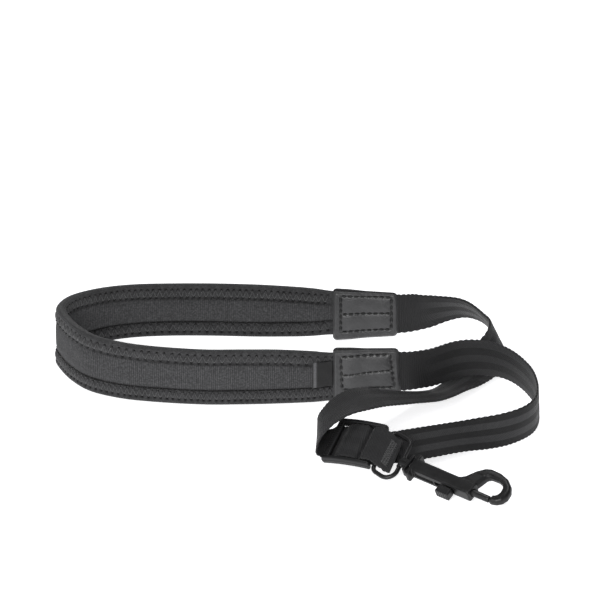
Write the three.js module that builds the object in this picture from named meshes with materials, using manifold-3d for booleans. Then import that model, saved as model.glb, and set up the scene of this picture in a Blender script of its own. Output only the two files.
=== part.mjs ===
// Saxophone neck strap: a U-shaped soft neck pad with two stitched leather tabs,
// two lengths of webbing, a three-bar adjuster and a swivelling snap hook.
// Millimetres, +Z up. The pad stands on its lower edge.
import * as THREE from 'three';
import { mergeVertices } from 'three/addons/utils/BufferGeometryUtils.js';
import Module from 'manifold-3d';

const wasm = await Module();
wasm.setup();

// ---------------------------------------------------------------- dimensions
const ORIGIN_SHIFT = [1.655, 25.034, 0]; // puts the origin under the middle of the box
const PAD_THICK = 6;                       // pad thickness over the bindings
const BINDING_REACH = 9.8;                 // how far a binding reaches down each face
const GAP = 0.3;                           // clearance between touching pieces
const WEB_WIDTH = 25;                      // webbing width
const WEB_THICK = 1.4;                     // webbing thickness
const TAB_LEFT = 19.6, TAB_RIGHT = 58;     // tabs, along X
// tab height at its two ends, its middle height, and how far its right edge is moved and leans
const TAB_FRONT = { left: 33.6, right: 32, z: 17.2, reach: 1.5, lean: 0.8 };
const TAB_BACK = { left: 32.4, right: 27.4, z: 17.6, reach: 0, lean: 0 };
const SEW_Z = [8.6, 18.9, 30.4];           // stitch lines: lower, middle, upper
const ADJ_HALF_U = 16.5, ADJ_HALF_V = 15.5, ADJ_RAIL_IN = 13.0;
const ADJ_ARCH = 1.3, ADJ_DROP = 0.9, ADJ_RAIL_T = 5.5;
const RING_WIRE = 2.8;                     // link wire diameter
const POST_D = 4.4, HEAD_D = 5.8, NECK_D = 6;
const FLANGE = [12.4, 7.2], COLLAR = [16, 8]; // plates of the link and the hook, across p and q
const BODY_W = 9, BODY_T = 8;              // hook body across p and q
const PIN_D = 4.2, PIN_P = 0;              // plunger pin and its offset from the swivel axis
const ARM_T = 5.6;                         // hook arm thickness

const V = (x, y, z) => new THREE.Vector3(x, y, z);
const group = new THREE.Group();
group.position.set(...ORIGIN_SHIFT);

// ---------------------------------------------------------------- helpers
function addMesh(name, geometry, color, roughness, metalness = 0) {
  const m = new THREE.Mesh(geometry, new THREE.MeshStandardMaterial({ color, roughness, metalness }));
  m.name = name;
  group.add(m);
  return m;
}

function fromIndexed(pos, idx) {
  let vol = 0;
  for (let i = 0; i < idx.length; i += 3) {
    const [a, b, c] = [idx[i] * 3, idx[i + 1] * 3, idx[i + 2] * 3];
    vol += pos[a] * (pos[b + 1] * pos[c + 2] - pos[b + 2] * pos[c + 1])
         + pos[a + 1] * (pos[b + 2] * pos[c] - pos[b] * pos[c + 2])
         + pos[a + 2] * (pos[b] * pos[c + 1] - pos[b + 1] * pos[c]);
  }
  if (vol < 0) for (let i = 0; i < idx.length; i += 3) [idx[i + 1], idx[i + 2]] = [idx[i + 2], idx[i + 1]];
  const g = new THREE.BufferGeometry();
  g.setAttribute('position', new THREE.BufferAttribute(new Float32Array(pos), 3));
  g.setIndex(idx);
  g.computeVertexNormals();
  return g;
}

// rings: arrays of Vector3 with one count; flat: the 2-D outline of a ring, used for the end caps
function loft(rings, flat, closed = false) {
  const n = rings[0].length, pos = [], idx = [];
  for (const r of rings) for (const p of r) pos.push(p.x, p.y, p.z);
  const m = rings.length, last = closed ? m : m - 1;
  for (let i = 0; i < last; i++) for (let j = 0; j < n; j++) {
    const a = i * n + j, b = i * n + (j + 1) % n, c = ((i + 1) % m) * n + (j + 1) % n, d = ((i + 1) % m) * n + j;
    idx.push(a, b, c, a, c, d);
  }
  if (!closed) {
    let area = 0;
    for (let j = 0; j < n; j++) { const p = flat[j], q = flat[(j + 1) % n]; area += p[0] * q[1] - p[1] * q[0]; }
    const tri = THREE.ShapeUtils.triangulateShape(flat.map(p => new THREE.Vector2(p[0], p[1])), []);
    const o = (m - 1) * n;
    for (const [a, b, c] of tri) {
      const ccw = (flat[b][0] - flat[a][0]) * (flat[c][1] - flat[a][1]) - (flat[b][1] - flat[a][1]) * (flat[c][0] - flat[a][0]) > 0;
      const [p, q, r] = ccw === (area > 0) ? [a, b, c] : [a, c, b];
      idx.push(p, r, q);
      idx.push(o + p, o + q, o + r);
    }
  }
  return fromIndexed(pos, idx);
}

function toManifold(geometry) {
  let g = geometry.clone();
  g.deleteAttribute('normal'); g.deleteAttribute('uv');
  g = mergeVertices(g, 1e-5);
  return new wasm.Manifold(new wasm.Mesh({
    numProp: 3, vertProperties: new Float32Array(g.attributes.position.array), triVerts: new Uint32Array(g.index.array) }));
}
function fromManifold(man) {
  const mesh = man.getMesh(), k = mesh.numProp, n = mesh.vertProperties.length / k, pos = [];
  for (let i = 0; i < n; i++) pos.push(mesh.vertProperties[i * k], mesh.vertProperties[i * k + 1], mesh.vertProperties[i * k + 2]);
  return fromIndexed(pos, Array.from(mesh.triVerts));
}

// centripetal curve through points, each carrying extra numbers, sampled about every step
function smooth(rows, step) {
  const pts = rows.map(r => V(r[0], r[1], r[2]));
  const curve = new THREE.CatmullRomCurve3(pts, false, 'centripetal');
  const out = [], n = rows.length - 1;
  for (let i = 0; i < n; i++) {
    const len = pts[i].distanceTo(pts[i + 1]);
    const k = Math.max(1, Math.round(len / step));
    for (let j = 0; j < k; j++) {
      const t = j / k, p = curve.getPoint((i + t) / n), extra = [];
      for (let e = 3; e < rows[i].length; e++) {
        const a = rows[Math.max(0, i - 1)][e], b = rows[i][e], c = rows[i + 1][e], d = rows[Math.min(n, i + 2)][e];
        const m0 = (c - a) / 2, m1 = (d - b) / 2, t2 = t * t, t3 = t2 * t;
        extra.push((2 * t3 - 3 * t2 + 1) * b + (t3 - 2 * t2 + t) * m0 + (-2 * t3 + 3 * t2) * c + (t3 - t2) * m1);
      }
      out.push([p.x, p.y, p.z, ...extra]);
    }
  }
  out.push(rows[n].slice());
  return out;
}

// webbing: rows of centre and width direction, swept with a flat rectangular section
function webbing(rows) {
  const rings = [], n = rows.length;
  for (let i = 0; i < n; i++) {
    const c = V(...rows[i].slice(0, 3)), w = V(...rows[i].slice(3, 6)).multiplyScalar(0.5);
    const a = V(...rows[Math.max(0, i - 1)].slice(0, 3)), b = V(...rows[Math.min(n - 1, i + 1)].slice(0, 3));
    const nrm = b.sub(a).cross(w).setLength(WEB_THICK / 2);
    rings.push([c.clone().add(w).add(nrm), c.clone().sub(w).add(nrm), c.clone().sub(w).sub(nrm), c.clone().add(w).sub(nrm)]);
  }
  return loft(rings, [[1, 1], [-1, 1], [-1, -1], [1, -1]]);
}

const lerp = (a, b, t) => a + (b - a) * t;
const sstep = (a, b, x) => { const t = Math.min(1, Math.max(0, (x - a) / (b - a))); return t * t * (3 - 2 * t); };

// ---------------------------------------------------------------- neck pad
// middle line of the pad: x, y, height, height of the middle
const PAD_MID = [[28, 8.0, 30.5, 15.9], [22, 7.6, 31, 15.9], [18.8, 7.25, 31.3, 16], [15.5, 6.85, 31.6, 16.2], [10, 6.2, 32.3, 16.5], [-12, 4.5, 34.4, 17.3],
  [-35, 3.4, 35.1, 17.55], [-57.7, 3.3, 35.2, 17.6], [-91.2, 7.9, 35.6, 17.8], [-107.6, 12.6, 36, 18], [-123.7, 21.9, 36.4, 18.2], [-134, 36.2, 36.5, 18.25],
  [-140.2, 51, 36.5, 18.25], [-142.4, 60, 36.5, 18.3], [-140.4, 69, 36.3, 18.4], [-135, 77, 36, 18.6], [-124, 84.6, 35.2, 18.9], [-112, 89.6, 34.4, 19.2],
  [-97, 93, 33.8, 19.3], [-77, 94.5, 33.4, 19.3], [-52, 94.5, 33.4, 19.3], [-24, 93, 33.2, 19.3], [0, 91.9, 31.5, 19.1], [10, 91.75, 30, 18.9],
  [15.5, 91.7, 29, 18.7], [18.8, 91.65, 28.5, 18.6], [22, 91.6, 28, 18.5], [28, 91.5, 27.6, 18.5]];
const padRows = smooth(PAD_MID.map(p => [p[0], p[1], 0, p[2], p[3]]), 8.5);
const padFrames = padRows.map((p, i) => {
  const a = padRows[Math.max(0, i - 1)], b = padRows[Math.min(padRows.length - 1, i + 1)];
  const t = new THREE.Vector2(b[0] - a[0], b[1] - a[1]).normalize();
  // the path runs from the front arm round the left to the back arm; outward is away from the neck
  return { x: p[0], y: p[1], ox: t.y * -1, oy: t.x, h: p[3], c: Math.max(p[4], p[3] / 2), k: sstep(7, 18.5, p[0]) };
});
{ const f = padFrames[6]; if (f.oy > 0) for (const g of padFrames) { g.ox *= -1; g.oy *= -1; } }
function padLoft(profile, lo = -1e9, hiFront = 1e9, hiBack = 1e9) {
  const fr = padFrames.filter((f) => f.x >= lo && f.x <= (f.y < 50 ? hiFront : hiBack));
  const rings = fr.map(f => profile(f).map(([o, z]) => V(f.x + f.ox * o, f.y + f.oy * o, f.c + z)));
  return loft(rings, profile(fr[Math.floor(fr.length / 2)]));
}
const kk = (f, a, b) => lerp(a, b, f.k);
const FOAM = 0x232326, KNIT = 0x2a2b2e, BIND = 0x26272a, THREAD = 0x3a3b3e;
addMesh('pad_core', padLoft(f => {
  const o = kk(f, 1.5, 0.5), z = f.h / 2 - 1.95;
  return [[-o, -z], [o, -z], [o, z], [-o, z]];
}, -1e9, 27, 27), FOAM, 0.95);
for (const [name, s] of [['pad_strip_outer', 1], ['pad_strip_inner', -1]]) {
  addMesh(name, padLoft(f => {
    const a = kk(f, 1.8, 0.8), b = kk(f, 2.7, 1.2), z = f.h / 2 - BINDING_REACH - GAP;
    const c = (a + b) / 2;
    return [[s * a, -z], [s * b, -z + 0.5], [s * b, z - 0.5], [s * a, z]];
  }), KNIT, 0.92);
}
for (const [name, s] of [['pad_binding_top', 1], ['pad_binding_bottom', -1]]) {
  addMesh(name, padLoft(f => {
    const O = kk(f, PAD_THICK / 2, 1.5), I = kk(f, 1.8, 0.8), h = f.h / 2, L = h - BINDING_REACH;
    const e = kk(f, 1.5, 0.8);
    return [[-O, L], [-O, h - 1.8], [-(O + e) / 2 - 0.1, h - 0.55], [-e, h], [e, h], [(O + e) / 2 + 0.1, h - 0.55], [O, h - 1.8], [O, L],
      [I, L], [I, h - 1.6], [-I, h - 1.6], [-I, L]].map(([o, z]) => [o, s * z]);
  }), BIND, 0.9);
}
for (const [edge, s] of [['top', 1], ['bottom', -1]]) for (const [side, q] of [['outer', 1], ['inner', -1]]) {
  addMesh(`seam_thread_${edge}_${side}`, padLoft(f => {
    const O = kk(f, PAD_THICK / 2, 1.5) + GAP, z = f.h / 2 - (s > 0 ? 4.9 : 6.2);
    return [[q * O, s * (z - 0.8)], [q * (O + 0.35), s * (z - 0.8)], [q * (O + 0.35), s * (z + 0.8)], [q * O, s * (z + 0.8)]];
  }, -1e9, q > 0 ? 5 : 17, 17), THREAD, 0.8);
}

// ---------------------------------------------------------------- tabs
const midFront = x => lerp(7.6, 9.5, (x - 22) / 36);
const midBack = x => lerp(91.6, 91.35, (x - 22) / 36);
const tabInner = x => lerp(2.0, 1.0, sstep(28.4, 40, x));
const tabHalf = (x, tab) => lerp(tab.left, tab.right, (x - TAB_LEFT) / (TAB_RIGHT - TAB_LEFT)) / 2;
const TAB_R = 3.2;
function tabHalfRounded(x, tab) {
  const d = Math.min(x - TAB_LEFT, TAB_RIGHT - x);
  return tabHalf(x, tab) - (d < TAB_R ? TAB_R - Math.sqrt(Math.max(0, TAB_R * TAB_R - (TAB_R - d) * (TAB_R - d))) : 0);
}
const tabOuter = (x, zn) => {
  const xn = (2 * x - TAB_LEFT - TAB_RIGHT) / (TAB_RIGHT - TAB_LEFT);
  return tabInner(x) + 1.1 + 0.75 * (1 - Math.pow(Math.abs(zn), 4)) * (1 - Math.pow(Math.abs(xn), 6));
};
function tabLayer(mid, side, tab) {
  const xs = [0, 0.35, 1.2, 3.2, 7, 12, 17, 22, 27, 32, 35.2, 37.2, 38.05, 38.4].map(d => TAB_LEFT + d);
  const zs = [-1, -0.94, -0.8, -0.5, 0, 0.5, 0.8, 0.94, 1];
  const nx = xs.length, nz = zs.length, pos = [], idx = [];
  const at = (l, i, j) => l * nx * nz + i * nz + j;
  for (const l of [0, 1]) for (const x of xs) for (const zn of zs) {
    const o = l ? tabOuter(x, zn) : tabInner(x);
    const xr = x + (x - TAB_LEFT) / (TAB_RIGHT - TAB_LEFT) * (tab.reach - tab.lean * zn);
    pos.push(xr, mid(xr) + side * o, tab.z + zn * tabHalfRounded(x, tab));
  }
  for (let i = 0; i < nx - 1; i++) for (let j = 0; j < nz - 1; j++) {
    idx.push(at(0, i, j), at(0, i + 1, j), at(0, i + 1, j + 1), at(0, i, j), at(0, i + 1, j + 1), at(0, i, j + 1));
    idx.push(at(1, i, j), at(1, i + 1, j + 1), at(1, i + 1, j), at(1, i, j), at(1, i, j + 1), at(1, i + 1, j + 1));
  }
  for (let i = 0; i < nx - 1; i++) {
    idx.push(at(0, i, 0), at(1, i, 0), at(1, i + 1, 0), at(0, i, 0), at(1, i + 1, 0), at(0, i + 1, 0));
    const e = nz - 1;
    idx.push(at(0, i, e), at(1, i + 1, e), at(1, i, e), at(0, i, e), at(0, i + 1, e), at(1, i + 1, e));
  }
  for (let j = 0; j < nz - 1; j++) {
    idx.push(at(0, 0, j), at(1, 0, j + 1), at(1, 0, j), at(0, 0, j), at(0, 0, j + 1), at(1, 0, j + 1));
    const e = nx - 1;
    idx.push(at(0, e, j), at(1, e, j), at(1, e, j + 1), at(0, e, j), at(1, e, j + 1), at(0, e, j + 1));
  }
  return fromIndexed(pos, idx);
}
const LEATHER = 0x1d1d1f;
addMesh('tab_front_outer', tabLayer(midFront, -1, TAB_FRONT), LEATHER, 0.45);
addMesh('tab_front_inner', tabLayer(midFront, 1, TAB_FRONT), LEATHER, 0.45);
addMesh('tab_back_outer', tabLayer(midBack, 1, TAB_BACK), LEATHER, 0.45);
addMesh('tab_back_inner', tabLayer(midBack, -1, TAB_BACK), LEATHER, 0.45);

// box of stitching with one line across its middle
function stitchFrame(mid, side) {
  const x0 = 24.2, x1 = 54.9, [z0, zm, z1] = SEW_Z, w = 0.9;
  const s = new THREE.Shape([[x0, z0], [x1, z0], [x1, z1], [x0, z1]].map(p => new THREE.Vector2(...p)));
  for (const [a, b] of [[z0 + w, zm - w / 2], [zm + w / 2, z1 - w]]) {
    s.holes.push(new THREE.Path([[x0 + w, a], [x0 + w, b], [x1 - w, b], [x1 - w, a]].map(p => new THREE.Vector2(...p))));
  }
  let g = new THREE.ExtrudeGeometry(s, { depth: 0.35, bevelEnabled: false });
  g.deleteAttribute('normal'); g.deleteAttribute('uv');
  g = mergeVertices(g, 1e-5);
  const p = g.attributes.position.array, pos = [];
  for (let i = 0; i < p.length; i += 3) {
    const x = p[i];
    pos.push(x, mid(x) + side * (tabInner(x) + 1.85 + GAP + p[i + 2]), p[i + 1]);
  }
  return fromIndexed(pos, Array.from(g.index.array));
}
addMesh('tab_front_thread_outer', stitchFrame(midFront, -1), THREAD, 0.7);
addMesh('tab_front_thread_inner', stitchFrame(midFront, 1), THREAD, 0.7);
addMesh('tab_back_thread_outer', stitchFrame(midBack, 1), THREAD, 0.7);
addMesh('tab_back_thread_inner', stitchFrame(midBack, -1), THREAD, 0.7);

// small folded label beside the front tab
{
  const rings = [7.2, 9.5, 12, 14.5, 17, 18.8].map(x => {
    let f0 = padFrames[0], best = 1e9;
    for (let i = 0; i < padFrames.length - 1; i++) {
      const a = padFrames[i], b = padFrames[i + 1];
      if (a.y > 50 || (a.x - x) * (b.x - x) > 0) continue;
      const t = (x - a.x) / (b.x - a.x);
      f0 = { x, y: lerp(a.y, b.y, t), k: lerp(a.k, b.k, t) }; best = 0;
    }
    const o = f0.y - (kk(f0, PAD_THICK / 2, 1.5) + GAP + 0.1);
    return [V(x, o, 10.9), V(x, o, 27.3), V(x, o - 0.8, 27.3), V(x, o - 0.8, 10.9)];
  });
  addMesh('pad_label', loft(rings, [[0, 0], [1, 0], [1, 1], [0, 1]]), 0x101011, 0.5);
}

// ---------------------------------------------------------------- adjuster frame axes
const AC = V(32.738, -78.919, 12.5);
const aU = V(0.87711, -0.47392, 0.07796), aV = V(0.38396, 0.78942, 0.47895), aN = V(-0.28853, -0.39016, 0.87437);
const adj = (u, v, n) => AC.clone().addScaledVector(aU, u).addScaledVector(aV, v).addScaledVector(aN, n);
const adjMat = new THREE.Matrix4().makeBasis(aU, aV, aN).setPosition(AC);
// turn of the webbing's width away from v, in the adjuster's plane, towards -u
const adjRow = (u, v, n, deg = 0, wn = 0) => {
  const p = adj(u, v, n), a = deg * Math.PI / 180;
  const w = aV.clone().multiplyScalar(Math.cos(a)).addScaledVector(aU, -Math.sin(a)).addScaledVector(aN, wn).setLength(WEB_WIDTH);
  return [p.x, p.y, p.z, w.x, w.y, w.z];
};

// ---------------------------------------------------------------- webbing
const BACK = [
  [29.8, 91.5, 18.1, 0, 0, 25], [44, 91.5, 18.1, 0, 0, 25], [58.3, 91.3, 18, 0, 0.1, 25.2], [65, 91.5, 18.4, -1.6, 0.4, 24.5],
  [70.3, 89.7, 20.1, -4.3, -1.6, 24.1], [75.8, 88, 21.4, -6.2, -5.6, 23.4], [81.3, 87, 23.1, -7.2, -8.9, 22],
  [87.3, 85.8, 24.5, -8, -11.5, 20.3], [93.3, 83.7, 25.9, -9, -12.8, 19.1], [99.3, 80.3, 26.5, -9.7, -12.5, 19.1],
  [104.9, 75.5, 26.1, -10.1, -11.7, 19.5], [109.4, 69.3, 24.9, -9.8, -10.7, 20.3], [113.4, 62.3, 23.1, -8.8, -9.2, 21.4],
  [117, 54.4, 21.9, -8.2, -8.4, 22], [116.8, 45.9, 17.6, -12.5, -5.4, 20.2], [108.4, 37.2, 10.7, -17.8, 4.6, 13.3],
  [98.5, 26.2, 4.5, -19.2, 11.7, 0.1], [89.6, 14, 4.3, -19.6, 13, -5.2], [81.6, 2.1, 6.9, -20.2, 14.1, -3.7],
  [74, -8.5, 10.4, -19.9, 15.1, -1.4], [67, -17.2, 14.1, -19.4, 15.7, -0.4], [60.5, -24.9, 17.6, -19, 16.3, 0.3],
  [54.5, -31.9, 20.9, -18.2, 17, 1.7], [48.5, -38.6, 24.2, -17.4, 17.6, 3], [43.7, -44.4, 26.8, -17.5, 17.2, 4],
  [37.7, -50.6, 28.5, -17.4, 17.4, 3.9], [30.8, -57.4, 29, -17.2, 17.9, 1.9], [24.8, -62.8, 28.3, -15.8, 18.7, -1.5],
  [19.5, -66.7, 26.2, -11.9, 20.1, -3.2], [14.9, -69.3, 23.1, -6.3, 22.4, -1.2], [11.5, -70.7, 18.8, -1.1, 24.2, 2.7],
  [10.5, -71, 14.5, 1.2, 23.7, 8.1], [13.4, -71.2, 9.7, 7, 20, 7.3],
  adjRow(-17.2, 0, -2.35), adjRow(-14.3, 0, -2.35), adjRow(-12.2, 0, -2.3), adjRow(-10.2, 0, -1.75), adjRow(-8.1, 0, -0.2), adjRow(-6.1, 0, 1.4),
  adjRow(-4.1, 0, 2.2), adjRow(-1.5, 0, 2.3), adjRow(1.5, 0, 2.3), adjRow(3.6, 0, 2.25), adjRow(5.1, 0, 1.7), adjRow(6.0, 0, 0.7), adjRow(6.35, 0, -0.5),
  adjRow(6.2, 0, -1.7), adjRow(5.5, 0, -2.8), adjRow(4.2, 0, -3.55), adjRow(2.4, 0, -3.8), adjRow(-1, 0, -4.0), adjRow(-4.5, 0, -4.4), adjRow(-8, 0, -4.8), adjRow(-11.8, 0, -5.0), adjRow(-15.6, 0, -5.1)];
const FRONT = [
  [29.8, 8, 18.1, 0, 0, 25], [44, 8.8, 18.1, 0, 0, 25], [58.3, 9.5, 18.4, 0, 0.2, 25.5], [65.1, 9.6, 18.6, -0.3, -0.2, 25.2],
  [71.7, 11.2, 18.9, -0.6, -0.7, 25.1], [78.2, 13.8, 18.9, -0.8, -0.8, 25.1], [84.2, 17.4, 19.3, -1.1, -0.7, 25],
  [90.1, 21, 19.9, -1.4, -0.5, 24.7], [96.8, 23.3, 20.4, -1.5, -0.8, 24.5], [104.1, 23.7, 20.8, -1.6, -1.9, 24.6],
  [111.6, 21.9, 21.2, -2.1, -3.2, 24.5], [118.7, 18.1, 21.4, -2.6, -4, 24.4], [125, 12.4, 21.2, -2.8, -4, 24.4],
  [130.5, 5.2, 20.6, -2.7, -3.9, 24.6], [135.2, -3.2, 19.8, -2.3, -3.6, 24.6], [139, -12.6, 18.8, -1.7, -3.3, 24.7],
  [141.2, -23, 17.5, -1.2, -3, 24.8], [141.6, -34, 16.1, -0.1, -2.7, 25], [139.3, -45.2, 15.1, 1.5, -3, 24.7],
  [132.6, -54.8, 14.3, 1, -2.6, 23], [121.7, -61.4, 13.2, -2.3, 3.2, 19.8], [109, -65.2, 12.4, -5.1, 13, 14.8],
  [97.6, -68.5, 12.2, -6.8, 19.2, 10.6], [87.7, -72.1, 12.2, -7.6, 21.5, 9.3], [78.9, -75.6, 12.1, -7.8, 21.8, 9.5],
  [70.6, -78.8, 12, -7.6, 21.4, 10], [63.3, -81.9, 11.9, -6.6, 21, 11],
  adjRow(24.2, 4.6, -4.9, 26), adjRow(20.6, 1.5, -2.9, 12), adjRow(17.4, 0.2, -2.4, 3), adjRow(14.5, 0, -2.35),
  ...[0, 22.5, 45, 67.5, 90, 112.5, 135, 157.5, 180].map(d => { const a = d * Math.PI / 180; return adjRow(11.5 - 2.75 * Math.sin(a), 0, -2.4 * Math.cos(a)); }),
  adjRow(14.2, 0, 2.45), adjRow(17, -0.7, 2.95), adjRow(19.8, -2.2, 3.1), adjRow(22.3, -3.6, 2.95, 0), adjRow(24.8, -4.6, 2.5, 1), adjRow(27.2, -5.8, 1.5, 3), adjRow(29.2, -6.3, 1.3, 3), adjRow(31.2, -6.4, 1.4, 3)];
const WEB = 0x2b2c2f;
addMesh('webbing_back', webbing(smooth(BACK, 5.5)), WEB, 0.75);
addMesh('webbing_front', webbing(smooth(FRONT, 5.5)), WEB, 0.75);

// bar tack on the loop's upper layer
{
  const off = WEB_THICK / 2 + GAP + 0.15;
  const rings = [[24.2, -4.5, 2.7], [25.8, -5.2, 2.15], [27.4, -6.0, 1.5], [28.8, -6.4, 1.15]].map(([u, v, n]) =>
    [adj(u, v - 8.5, n + off), adj(u, v + 8.5, n + off), adj(u, v + 8.5, n + off + 0.4), adj(u, v - 8.5, n + off + 0.4)]);
  addMesh('bartack_thread', loft(rings, [[0, 0], [1, 0], [1, 1], [0, 1]]), 0x55565a, 0.6);
}

// ---------------------------------------------------------------- adjuster
function extrudeV(points, v0, v1) {   // outline in (u, n), extruded from v0 to v1
  const flat = points;
  return loft([v0, v1].map(v => flat.map(([u, n]) => V(u, v, n))), flat);
}
function roundRect(u0, u1, n0, n1, r, k = 3) {
  const out = [];
  for (const [cx, cy, a0] of [[u1 - r, n0 + r, -90], [u1 - r, n1 - r, 0], [u0 + r, n1 - r, 90], [u0 + r, n0 + r, 180]])
    for (let i = 0; i <= k; i++) { const a = (a0 + 90 * i / k) * Math.PI / 180; out.push([cx + r * Math.cos(a), cy + r * Math.sin(a)]); }
  return out;
}
{
  const arch = u => ADJ_ARCH * (1 - (u / ADJ_HALF_U) ** 2) - ADJ_DROP, h = ADJ_RAIL_T / 2, r = 1.6;
  const top = [], bot = [];
  for (let i = 0; i <= 12; i++) {
    const u = lerp(-ADJ_HALF_U, ADJ_HALF_U, i / 12), d = ADJ_HALF_U - Math.abs(u);
    const cut = d < r ? r - Math.sqrt(r * r - (r - d) ** 2) : 0;
    top.push([u, arch(u) + h - cut]); bot.unshift([u, arch(u) - h + cut]);
  }
  const rail = [...bot, ...top];
  let frame = toManifold(extrudeV(rail, ADJ_RAIL_IN, ADJ_HALF_V)).add(toManifold(extrudeV(rail, -ADJ_HALF_V, -ADJ_RAIL_IN)));
  const e = ADJ_RAIL_IN + 0.6;
  for (const [a, b, t] of [[-ADJ_HALF_U, -12, 2.6], [-3.5, 4.5, 2.4], [10, 13, 2.6]])
    frame = frame.add(toManifold(extrudeV(roundRect(a, b, -t / 2, t / 2, 1.0), -e, e)));
  const g = fromManifold(frame);
  g.applyMatrix4(adjMat);
  addMesh('adjuster_frame', g, 0x151516, 0.35);
}

// ---------------------------------------------------------------- swivel eye and hook, in axes h (length), p (across), q (through)
const RC = V(54.023, -97.099, 11.412);
const hH = V(0.78406, -0.61529, -0.08164), hP = V(0.57397, 0.66869, 0.47267), hQ = V(-0.23624, -0.41746, 0.87745);
const hookMat = new THREE.Matrix4().makeBasis(hH, hP, hQ).setPosition(RC);
function discs(list, seg = 16, p0 = 0) {   // turned piece on the h axis: [h, radius] pairs, at offset p0
  const rings = list.map(([h, r]) => Array.from({ length: seg }, (_, i) => {
    const a = (i + 0.5) * 2 * Math.PI / seg; return V(h, p0 + r * Math.cos(a), r * Math.sin(a)); }));
  return loft(rings, Array.from({ length: seg }, (_, i) => { const a = (i + 0.5) * 2 * Math.PI / seg; return [Math.cos(a), Math.sin(a)]; }));
}
function plate(h0, h1, wp, wq) {            // plate across the h axis with cut corners
  const a = wp / 2, b = wq / 2, c = 1.3, s = [[-a, -b + c], [-a + c, -b], [a - c, -b], [a, -b + c], [a, b - c], [a - c, b], [-a + c, b], [-a, b - c]];
  return loft([h0, h1].map(h => s.map(([p, q]) => V(h, p, q))), s);
}
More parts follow.
